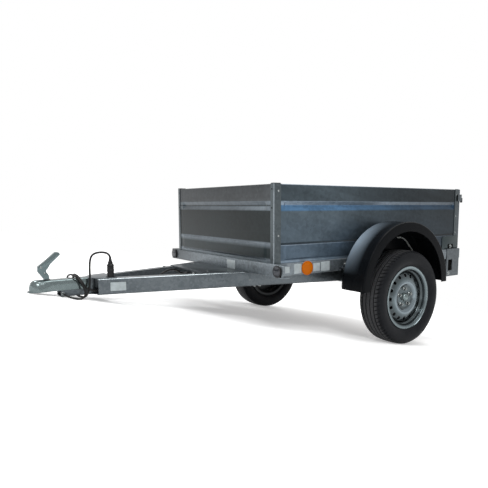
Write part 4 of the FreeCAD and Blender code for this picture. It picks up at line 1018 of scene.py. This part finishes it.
def wheel(look, name, side):
    """Drop-centre rim with the disc, its barrel inward of the disc in painted shade and a dark lining behind the disc,
    painted shade for the hand holes, and the hub with its cap and five nuts.
    """
    foot, axis = (0, WHEEL_Y, TYRE_R), LEFT
    skin = Skin(side)
    half = [(65.2, 180.6), (63.4, 184.2), (59.4, 182), (58.6, 166.2), (47, 163.4)]
    line = rounded(half + [(40, 161.6), (31, 152), (-16, 152), (-25, 161.6)] + [(-x, y) for x, y in half[::-1]],
                   [0, 3, 4, 5, 8, 6, 7, 7, 6, 8, 5, 4, 3, 0], closed=False)
    outline = folded(line, -3.0)
    outline[:, 1] = np.maximum(outline[:, 1], 140)
    # Painted shade: the barrel inward of the disc takes the dark finish.
    barrel = np.where(outline[:, 0] < 26, 1, 0)
    skin.add(spun(outline, foot, 144), around=True, along=True, mark=barrel)
    wheel_disc(skin, look)
    # A dark lining behind the disc: painted shade seen through the hand holes.
    skin.add(spun(plate((8, 66), (10, 148.4), 0.5, 2), foot, 96), around=True, along=True, mark=1)
    skin.piece("steel_wheel_" + name, "wheel_silver wheel_barrel", "rim_" + name, "wheel_" + name, 30)

    skin = Skin(side)
    skin.turned([(0, 54), (8, 53.8), (15, 52.4), (20, 49), (23, 44), (24.2, 38), (26, 37), (26, 30), (64, 29.6),
                 (64, 20), (32, 19.6), (31, -40), (29, -42), (14.6, -42), (14.6, 12), (0, 12)], foot, axis, 56)
    for turn in np.radians(90 + 72 * np.arange(5)):
        x, y, z = 49 * math.cos(turn), WHEEL_Y + 34, TYRE_R + 49 * math.sin(turn)
        skin.turned([(0, 0), (12.5, 0), (9.8, 4), (0, 4)], (x, y, z), axis, 24, 1)
        skin.bolt((x, y + 3, z), axis, 17, 9, washer=False, mark=1, nut=True)
    skin.piece("wheel_hub_" + name, "zinc_plated_steel fastener_steel", "hub_" + name,
               "wheel_" + name, 30)


# Mudguards
def guard(name, side):
    """Half a drum: a section with an inner wall, a crown that swells and dips before its tight shoulder, and a
    side wall with a rolled lip, turned about the guard's centre from the level in front to the level behind."""
    top = 368.0
    line = rounded([(577.3, 188.5), (577.3, top - 5.5), (600, top - 1.6), (640, top), (690, top - 2.6),
                    (722, top - 2.2), (736, top - 0.1), (751.2, top - 0.6), (751.2, top - 48), (751.9, top - 52.4),
                    (748.0, top - 53.8)], [0, 9, 22, 60, 40, 16, 8, 13, 8, 1.8, 0], 7, closed=False)
    skin = Skin(side)
    skin.add(spun(folded(line, 3.2), (GUARD_X, 0, GUARD_Z), 121, (-90, 90)), around=True)
    skin.piece("guard_" + name, "guard_plastic", "mudguard_" + name, crease=36)

    skin = Skin(side)
    angle = strip([(440.8, 545.6), (461.9, 545.6), (461.9, 576.6), (475, 576.6)], [0, 4, 4, 0], -3.2)[:, ::-1]
    for x in (GUARD_X - 338, GUARD_X + 338):
        skin.extruded(angle, [x - 17, x + 17], "yzx")
        skin.bolt((x, 548.9, 450), LEFT)
    # Painted light: the brace takes a pale, mostly matt zinc, so it reads as lit under the guard.
    brace = smooth([(-62, 609), (-86, 608), (-112, 603), (-139, 591), (-168, 567), (-189, 547), (-206, 529),
                    (-232, 484), (-246, 440)], 5)
    skin.extruded(folded(brace, 7.0), [581.4, 582.4, 586.4, 587.4], "xzy", 2)
    skin.piece("guard_stays_" + name, "galvanised_steel fastener_steel stay_zinc",
               "mudguard_stays_" + name)


# Lights
def light_carriers():
    """Bracket plates at the rear corners with their joggle, slot, bolts and the carrier behind the lamp."""
    rear, front, low = -778, -638, 322
    slot_low, slot_high = (-703, 361), (-655, 436)
    keep = np.ones((3, 3), bool)
    keep[1, 1] = False
    for name, side in SIDES:
        skin = Skin(side)
        faces = (RAIL_FACE, RAIL_FACE + BEAM_WALL)
        for y in faces:
            grid = np.meshgrid([rear, slot_low[0], slot_high[0], front], [y], [low, slot_low[1], slot_high[1], BOX_LOW],
                               indexing="ij")
            skin.add(np.stack(grid, -1)[:, 0], keep=keep)
        slot = box_outline(slot_low, slot_high)
        for ring in (box_outline((rear, low), (front, BOX_LOW)), slot):
            skin.add(placed(ring, faces, "xzy"), around=True, caps=False)
        skin.slab(slot, 540.2, 541.2, "xzy", 0.2, 1)
        upper = rounded([(rear, BOX_LOW), (-596, BOX_LOW), (-596, 583), (-608, 595), (rear, 595)], [1, 8, 6, 6, 6])
        skin.slab(upper, 532.5, 535.5, "xzy", 0.8, 3)
        skin.slab(box_outline((rear, 532.6), (front, 548.2)), 507.3, 510, "xyz")
        skin.slab(plate((306.3, low), (548, 435), 8), -733, -730, "yzx")
        skin.slab(plate((-722, 513), (-660, 541), 6), 535.4, 535.9, "xzy", 0.2, 1)
        skin.bolt((-689, 535.8, 526), LEFT, 14, 6, mark=2)
        skin.bolt((-660, 548.2, 343), LEFT, mark=2)
        skin.piece("light_bracket_" + name, STEEL + " bracket_zinc", "lamp_bracket_" + name)


def lamps():
    """Tail lamps in three fields on a black housing, round prism reflectors in front and at the sides."""
    skin = Skin()
    back = -733.3
    for skin.side in (1, -1):
        skin.slab(plate((318, 336), (533, 434), 12, 5), back, back - 20, "yzx", 3)
        for near, far, inner, outer, mark in ((321, 381, 8, 2, 3), (383, 467, 8, 2, 1), (469, 530, 2, 8, 2)):
            lens = plate((near, 339), (far, 431), [inner, outer, outer, inner])
            skin.slab(lens, back - 20, back - 38, "yzx", 5, mark)
    skin.piece("tail_lamp_pair", "lamp_housing red_lens amber_lens clear_lens", "tail_lamps")
    for name, slot, ring_finish, foot, axis, ring, lens in (
            ("front", "clear", "lamp_housing", (BEAM_FRONT + 0.3, 575, BEAM_MIDDLE), AHEAD,
             [(0, 0), (31, 0), (31, 7.2), (29.6, 9.2), (27.4, 9.4), (27.2, 7.4), (0, 7.4)],
             [(0, 7.2), (27, 7.2), (27, 7.8), (25, 8.8), (14, 9.5), (0, 9.9)]),
            ("side", "amber", "amber_lens", (616, RAIL_FACE, BEAM_MIDDLE), LEFT,
             [(0, 0), (38, 0), (38, 4.6), (36.8, 6.4), (34.6, 6.6), (34.4, 5.2), (0, 5.2)],
             [(0, 5), (34.2, 5), (34.2, 5.6), (31, 6.8), (18, 7.6), (0, 7.9)])):
        skin = Skin()
        for skin.side in (1, -1):
            for mark, outline in enumerate((ring, lens)):
                skin.turned(outline, foot, axis, 56, mark)
        skin.piece(name + "_round_reflectors", ring_finish + " " + slot + "_lens",
                   name + "_reflectors")


def labels():
    """Blank stickers: thin rounded plates on the near arm, the front beam and the rail."""
    skin = Skin()
    section = placed(plate((1447, 378), (1520, 421), 3, 3), [0, 0.35], "xzy")
    section[..., 1] = arm_y(section[..., 0]) + section[..., 1] * math.cos(ARM_TURN)
    skin.add(section, around=True)
    skin.slab(plate((97.5, 446), (182.5, 496), 2, 3), BEAM_FRONT - 0.05, BEAM_FRONT + 0.35, "yzx", 0.1)
    for low, high in (((735, 456), (766, 490)), ((655, 449), (704, 500)), ((524, 452), (572, 496)),
                      ((452, 449), (516, 500))):
        skin.slab(plate(low, high, 2, 3), RAIL_HALF - 0.05, RAIL_HALF + 0.35, "xzy", 0.1)
    skin.piece("blank_labels", "blank_label")


# Plug and cords
def plug_and_holder():
    """Parking holder on the left arm, and the ribbed plug standing in it with its tapered tail."""
    foot = (HOLDER_X, HOLDER_Y, 445.6)
    skin = Skin()
    skin.slab(plate((HOLDER_X - 20, HOLDER_Y - 20), (HOLDER_X + 20, HOLDER_Y + 20), 6), foot[2], 448.8, "xyz")
    skin.turned([(0, 2.8), (17, 2.8), (17, 20), (16, 21), (16, 25), (17, 26), (14.5, 26.2), (0, 26.2)], foot,
                UP, 40)
    skin.piece("plug_parking_holder", "black_plastic", "plug_holder")
    radius, level = rounded([(0, 471.9), (17.6, 471.9), (17.8, 484), (16.4, 486), (16.4, 500), (17.8, 502), (17.4, 507),
                             (12.2, 512), (12, 519), (10.4, 523.8), (8.4, 524.6), (6.4, 537.6), (5.4, 549), (0, 549)],
                            [0, 1.5, 1, 1, 1, 1, 3, 3, 1, 1, 1, 2, 0.6, 0], 3, closed=False).T
    turn = np.linspace(0, 2 * math.pi, 96, endpoint=False)[:, None]
    flutes = 0.5 * np.cos(turn * 24) * ((level > 486) & (level < 500) & (radius > 1))
    rings = 0.55 * np.sin((level - 524) * 1.2) * ((level > 525) & (level < 547))
    radius = radius + flutes + rings * (radius > 1)
    grid = HOLDER_X + radius * np.cos(turn), HOLDER_Y + radius * np.sin(turn), level + 0 * radius
    skin = Skin()
    skin.add(np.stack(grid, -1), along=True)
    return skin.piece("trailer_plug", "black_plastic", "plug")


def cord_curve(name, points, radius):
    """A smooth NURBS line through the frame with the route's points as its control points."""
    data = bpy.data.curves.new(name, "CURVE")
    data.dimensions = "3D"
    spline = data.splines.new("NURBS")
    spline.points.add(len(points) - 1)
    spline.points.foreach_set("co", np.concatenate([parked(points), np.ones((len(points), 1))], 1).ravel())
    spline.order_u = 3
    spline.use_endpoint_u = True
    spline.resolution_u = 8
    data.bevel_depth = radius * MM
    data.bevel_resolution = 5
    data.use_fill_caps = True
    data.materials.append(FINISHES["cord_rubber"])
    return linked(name, data, "chassis")


def cords():
    """The lead from its gland to the parked plug, the cable from eye to eye, and what holds their ends."""
    foot = np.array(CORD_FOOT)
    plug = plug_and_holder()
    route = np.concatenate([[GLAND], (foot + LEAD_ROUTE)[::-1], [(HOLDER_X, HOLDER_Y, TAIL_TOP + 0.3)]])
    lead = cord_curve("electric_lead_cord", route, 5.0)
    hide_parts("electric_lead")
    skin = Skin()
    skin.turned([(0, 0), (9, 0), (9, 6), (8, 7), (8, 11), (7.4, 12.2), (6.6, 14), (5.6, 38), (5.2, 39), (0, 39)],
                (GLAND[0] - 12.3, 0, GLAND[2]), AHEAD)
    relief = skin.piece("lead_strain_relief", "black_plastic")
    eyes = [(EYE_X, 42.3 * side, EYE_Z) for _, side in SIDES]
    cable = cord_curve("safety_cable_cord", np.concatenate([eyes[:1], foot + SAFETY_ROUTE, eyes[1:]]), 4.5)
    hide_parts("safety_cable")
    skin = Skin()
    for skin.side in (1, -1):
        skin.turned([(0, 0), (5.6, 0), (5.6, 12), (4.6, 14), (0, 14)], (EYE_X, 42.1, EYE_Z), LEFT, 28)
    ends = skin.piece("cable_ferrules", "zinc_plated_steel")


# Stage
def camera_frame():
    """The photograph's camera on the level trailer, set down with it: position, and axes right, up, back."""
    place, turn, pitch = (2333.7, 2496.5, 803.4), 0.94711, 0.11095
    forward = np.array([-math.cos(turn) * math.cos(pitch), -math.sin(turn) * math.cos(pitch), -math.sin(pitch)])
    right = np.cross(forward, (0, 0, 1))
    right /= np.linalg.norm(right)
    axes = np.stack([right, np.cross(right, forward), -forward]) @ TURN.T
    return parked(place), axes


def staged(name, data):
    """The object of a camera, lamp or mesh of the studio, in the scene."""
    made = bpy.data.objects.new(name, data)
    bpy.context.scene.collection.objects.link(made)
    return made


def set_camera():
    """The photograph's camera, with its lens shifted off the middle of the picture."""
    data = bpy.data.cameras.new("photograph")
    data.sensor_width, data.lens = 36.0, 36.25
    data.shift_x, data.shift_y = -0.03084, 0.03314
    data.clip_start, data.clip_end = 0.05, 100.0
    place, axes = camera_frame()
    camera = bpy.context.scene.camera = staged("photograph", data)
    camera.matrix_world = Matrix.Translation(Vector(place)) @ Matrix(axes.T.tolist()).to_4x4()


def seen_by(tree, *rays):
    """1 where a ray of one of the kinds comes, and otherwise 0."""
    paths = tree.nodes.new("ShaderNodeLightPath").outputs
    seen = paths["Is Camera Ray"]
    for ray in rays:
        seen = maths(tree, "MAXIMUM", seen, paths["Is " + ray + " Ray"])
    return seen


def set_light(look):
    """White surroundings, and round lamps that all face one point over the floor."""
    aim = Vector((0, 0, 0.4))
    world = bpy.context.scene.world = bpy.data.worlds.new("studio")
    world.use_nodes = True
    tree = world.node_tree
    seen = seen_by(tree, "Glossy", "Transmission")
    plug_in(tree, tree.nodes["Background"], {"Color": (1, 1, 1, 1),
                                             "Strength": ranged(tree, seen, 0.0, 1.0, look.world)})
    for name, place, size in (("key", (2.6, 3.2, 3.4), 1.6), ("fill", (-3.4, -2.2, 2.6), 3.0),
                              ("top", (0.2, 0.6, 4.2), 3.0), ("front", (2.2, -2.1, 2.9), 1.0)):
        light = bpy.data.lights.new(name, "AREA")
        light.shape, light.size, light.energy = "DISK", size, getattr(look, name)
        lamp = staged(name, light)
        lamp.location = place
        lamp.rotation_euler = (aim - Vector(place)).to_track_quat("-Z", "Y").to_euler()


def lay_floor(look):
    """A white floor that takes shadows near the trailer and glows white farther off."""
    half, plain, white = 14.0, 1.5, 2.6
    mesh = bpy.data.meshes.new("studio_floor")
    mesh.from_pydata([(-half, -half, 0), (half, -half, 0), (half, half, 0), (-half, half, 0)], [], [(0, 1, 2, 3)])
    tree, place = new_finish("studio_floor", Base_Color=(0.9, 0.9, 0.9, 1), Roughness=0.9, Specular_IOR_Level=0.1,
                             Emission_Color=(1, 1, 1, 1))
    away = vectors(tree, "LENGTH", place, output="Value")
    glow = maths(tree, "MULTIPLY", seen_by(tree, "Glossy"), ranged(tree, away, plain, white, look.floor_glow))
    plug_in(tree, tree.nodes["Principled BSDF"], {"Emission Strength": glow})
    mesh.materials.append(FINISHES["studio_floor"])
    staged("studio_floor", mesh)


# Settings
def tint(name, description, *value):
    return FloatVectorProperty(name=name, description=description, default=value, size=3, min=0, max=1,
                               subtype="COLOR")


def amount(name, description, value, low, high, unit="NONE"):
    return FloatProperty(name=name, description=description, default=value, min=low, max=high, unit=unit)


class TrailerColours(bpy.types.PropertyGroup):
    """Colours of the trailer's finishes, in linear light."""
    # The side and front tones below are painted light and shade by level on the sheets: the edge tones are painted
    # highlights, the groove tones a painted reflection, the fold tones painted shade.
    side_top: tint("Side, top", "Zinc of the side sheets above the groove", 0.053, 0.070, 0.082)
    side_groove: tint("Side, groove", "Bluish zinc inside the side sheets' groove", 0.065, 0.139, 0.240)
    side_edge: tint("Side, edge", "Drawn zinc at the edges of groove and step", 0.218, 0.275, 0.339)
    side_upper: tint("Side, upper", "Zinc below the groove", 0.074, 0.098, 0.116)
    side_middle: tint("Side, middle", "Zinc above the step", 0.075, 0.101, 0.125)
    side_fold: tint("Side, fold", "Zinc in the fold above the step", 0.017, 0.025, 0.032)
    side_step: tint("Side, step", "Zinc on the step", 0.071, 0.101, 0.134)
    side_low: tint("Side, low", "Zinc below the step", 0.117, 0.164, 0.211)
    front_top: tint("Front, top", "Zinc of the front sheet above the groove", 0.055, 0.060, 0.064)
    front_middle: tint("Front, middle", "Zinc of the front sheet below the groove", 0.013, 0.017, 0.018)
    front_edge: tint("Front, edge", "Drawn zinc in the front sheet's groove", 0.108, 0.129, 0.147)
    front_step: tint("Front, step", "Zinc on the front sheet's step", 0.013, 0.019, 0.021)
    front_low: tint("Front, low", "Zinc below the front sheet's step", 0.077, 0.097, 0.108)
    sheet_dark: tint("Sheet, dark", "Darker crystals of the tailgate", 0.050, 0.060, 0.070)
    sheet_light: tint("Sheet, light", "Lighter crystals of the tailgate", 0.098, 0.112, 0.126)
    steel_dark: tint("Steel, dark", "Darker crystals of the galvanised beams", 0.048, 0.058, 0.065)
    steel_light: tint("Steel, light", "Lighter crystals of the galvanised beams", 0.115, 0.131, 0.142)
    post_dark: tint("Post, dark", "Darker crystals of the corner posts", 0.041, 0.050, 0.056)
    post_light: tint("Post, light", "Lighter crystals of the corner posts", 0.079, 0.094, 0.101)
    rail_dark: tint("Rail, dark", "Darker crystals of rails and front beam", 0.057, 0.069, 0.077)
    rail_light: tint("Rail, light", "Lighter crystals of rails and front beam", 0.198, 0.226, 0.247)
    zinc_dark: tint("Zinc, dark", "Darker tone of the plated coupling", 0.081, 0.106, 0.108)
    zinc_light: tint("Zinc, light", "Lighter tone of the plated coupling", 0.210, 0.249, 0.252)
    # Wheel tones: painted highlights on the ridge and the flange, painted shade at the disc's edge, the hand holes and
    # the folds.
    disc_ridge: tint("Wheel, ridge", "Silver on the disc's ridge, which catches light", 0.171, 0.207, 0.228)
    disc_dish: tint("Wheel, dish", "Silver between the ridge and the hand holes", 0.1, 0.125, 0.134)
    disc_edge: tint("Wheel, disc edge", "Silver at the hand holes and the disc's edge", 0.066, 0.079, 0.084)
    rim_flange: tint("Wheel, flange", "Silver of the rim's outer flange", 0.190, 0.230, 0.242)
    guard: tint("Mudguard", "Black plastic of the mudguards", 0.0035, 0.0042, 0.0052)
    # Painted highlight: the pale tone laid on the mudguards' crown in front.
    guard_highlight: tint("Mudguard, paled", "Weathered plastic on the crown in front", 0.293, 0.366, 0.439)
    tyre_side: tint("Tyre side", "Rubber of the sidewalls", 0.008, 0.009, 0.011)
    tyre_tread: tint("Tyre tread", "Worn face of the tread", 0.063, 0.064, 0.067)
    amber: tint("Amber", "Side reflectors and indicators", 0.640, 0.150, 0.000)
    label: tint("Label", "Blank stickers", 0.420, 0.473, 0.490)


class TrailerShape(bpy.types.PropertyGroup):
    """Sizes of the details that the scene adds, in millimetres."""
    fold: amount("Fold radius", "Outer radius of the folds of posts and beams, in mm", 4.5, 1, 12)
    arm_fold: amount("Arm fold radius", "Outer radius of the drawbar arms' folds, in mm", 6.5, 3, 15)
    hand_hole: amount("Hand hole radius", "Radius of the holes in the wheel discs, in mm", 10.0, 3, 12)
    hole_lip: amount("Hole lip", "How far each hand hole's edge is pressed in, in mm", 1.6, 0, 4)
    tread_depth: amount("Tread depth", "Depth of the grooves round the tyre, in mm", 6.5, 1, 9)
    pitches: IntProperty(name="Tread pitches", description="How many times the tread repeats round the tyre",
                         default=72, min=24, max=96)


class TrailerStudio(bpy.types.PropertyGroup):
    """Light of the studio."""
    world: amount("World", "Strength of the white surroundings on the object", 0.45, 0, 2)
    key: amount("Key", "Lamp ahead and to the left", 80.0, 0, 500, "POWER")
    fill: amount("Fill", "Lamp behind and to the right", 60.0, 0, 500, "POWER")
    top: amount("Top", "Lamp overhead", 95.0, 0, 500, "POWER")
    front: amount("Front", "Lamp ahead and to the right", 36.0, 0, 500, "POWER")
    floor_glow: amount("Floor glow", "White added to the floor where the camera sees it", 0.35, 0, 1)


# Operators
class TRAILER_OT_stage(bpy.types.Operator):
    """Set the camera, the studio's light and its floor"""
    bl_idname = "trailer.stage"
    bl_label = "Stage"

    def execute(self, context):
        context.scene.view_settings.view_transform = "Standard"
        set_camera()
        set_light(context.scene.trailer_studio)
        lay_floor(context.scene.trailer_studio)
        return {"FINISHED"}


class TRAILER_OT_finishes(bpy.types.Operator):
    """Make the zinc, rubber, plastic and lens finishes, and dress the floor that stays as it is"""
    bl_idname = "trailer.finishes"
    bl_label = "Finishes"

    def execute(self, context):
        make_finishes(context.scene.trailer_colours)
        for slot in frame["nodes"]["floor_panel"].material_slots:
            slot.material = FINISHES["plywood"]
        return {"FINISHED"}


class TRAILER_OT_cords(bpy.types.Operator):
    """Lay the electric lead and the safety cable, with the plug, its holder and the strain reliefs"""
    bl_idname = "trailer.cords"
    bl_label = "Cords"

    def execute(self, context):
        cords()
        return {"FINISHED"}


class TRAILER_OT_box(bpy.types.Operator):
    """Press the side and front sheets and fold the corner posts"""
    bl_idname = "trailer.box"
    bl_label = "Box"

    def execute(self, context):
        box_sheets()
        corner_posts(context.scene.trailer_shape)
        return {"FINISHED"}


class TRAILER_OT_gate(bpy.types.Operator):
    """Press the tailgate and fit its knuckles and latches"""
    bl_idname = "trailer.gate"
    bl_label = "Tailgate"

    def execute(self, context):
        drop_gate()
        gate_latches()
        return {"FINISHED"}


class TRAILER_OT_chassis(bpy.types.Operator):
    """Fold the rails and cross beams"""
    bl_idname = "trailer.chassis"
    bl_label = "Chassis"

    def execute(self, context):
        chassis_beams(context.scene.trailer_shape)
        return {"FINISHED"}


class TRAILER_OT_drawbar(bpy.types.Operator):
    """Fold the drawbar arms and cut the gusset and the coupling's carrier"""
    bl_idname = "trailer.drawbar"
    bl_label = "Drawbar"

    def execute(self, context):
        drawbar(context.scene.trailer_shape)
        adaptor()
        return {"FINISHED"}


class TRAILER_OT_coupling(bpy.types.Operator):
    """Press the ball coupling and its lever"""
    bl_idname = "trailer.coupling"
    bl_label = "Coupling"

    def execute(self, context):
        coupling()
        return {"FINISHED"}


class TRAILER_OT_axle(bpy.types.Operator):
    """Make the torsion axle and its trailing arms"""
    bl_idname = "trailer.axle"
    bl_label = "Axle"

    def execute(self, context):
        running_gear()
        return {"FINISHED"}


class TRAILER_OT_wheels(bpy.types.Operator):
    """Make the tyres, steel wheels and hubs"""
    bl_idname = "trailer.wheels"
    bl_label = "Wheels"

    def execute(self, context):
        for name, side in SIDES:
            tyre(context.scene.trailer_shape, name, side)
            wheel(context.scene.trailer_shape, name, side)
        return {"FINISHED"}


class TRAILER_OT_guards(bpy.types.Operator):
    """Mould the mudguards and fold their stays"""
    bl_idname = "trailer.guards"
    bl_label = "Mudguards"

    def execute(self, context):
        for name, side in SIDES:
            guard(name, side)
        return {"FINISHED"}


class TRAILER_OT_lights(bpy.types.Operator):
    """Fit the light carriers, lamps, reflectors and blank labels"""
    bl_idname = "trailer.lights"
    bl_label = "Lights"

    def execute(self, context):
        light_carriers()
        lamps()
        labels()
        return {"FINISHED"}


STEPS = (TRAILER_OT_stage, TRAILER_OT_finishes, TRAILER_OT_cords, TRAILER_OT_box, TRAILER_OT_gate,
         TRAILER_OT_chassis, TRAILER_OT_drawbar, TRAILER_OT_coupling, TRAILER_OT_axle, TRAILER_OT_wheels,
         TRAILER_OT_guards, TRAILER_OT_lights)
SETTINGS = (("trailer_colours", TrailerColours), ("trailer_shape", TrailerShape), ("trailer_studio", TrailerStudio))


class TRAILER_PT_pieces(bpy.types.Panel):
    """The trailer's pieces, in the order in which they are made"""
    bl_idname = "TRAILER_PT_pieces"
    bl_label = "Trailer"
    bl_space_type = "VIEW_3D"
    bl_region_type = "UI"
    bl_category = "Trailer"

    def draw(self, context):
        for step in STEPS:
            self.layout.operator(step.bl_idname)


def register():
    for name, group in SETTINGS:
        bpy.utils.register_class(group)
        setattr(bpy.types.Scene, name, bpy.props.PointerProperty(type=group))
    for made in STEPS + (TRAILER_PT_pieces,):
        bpy.utils.register_class(made)


def unregister():
    for made in (TRAILER_PT_pieces,) + STEPS[::-1]:
        bpy.utils.unregister_class(made)
    for name, group in SETTINGS[::-1]:
        delattr(bpy.types.Scene, name)
        bpy.utils.unregister_class(group)


def main():
    register()
    for step in STEPS:
        family, action = step.bl_idname.split(".")
        getattr(getattr(bpy.ops, family), action)()


if __name__ == "__main__":
    main()
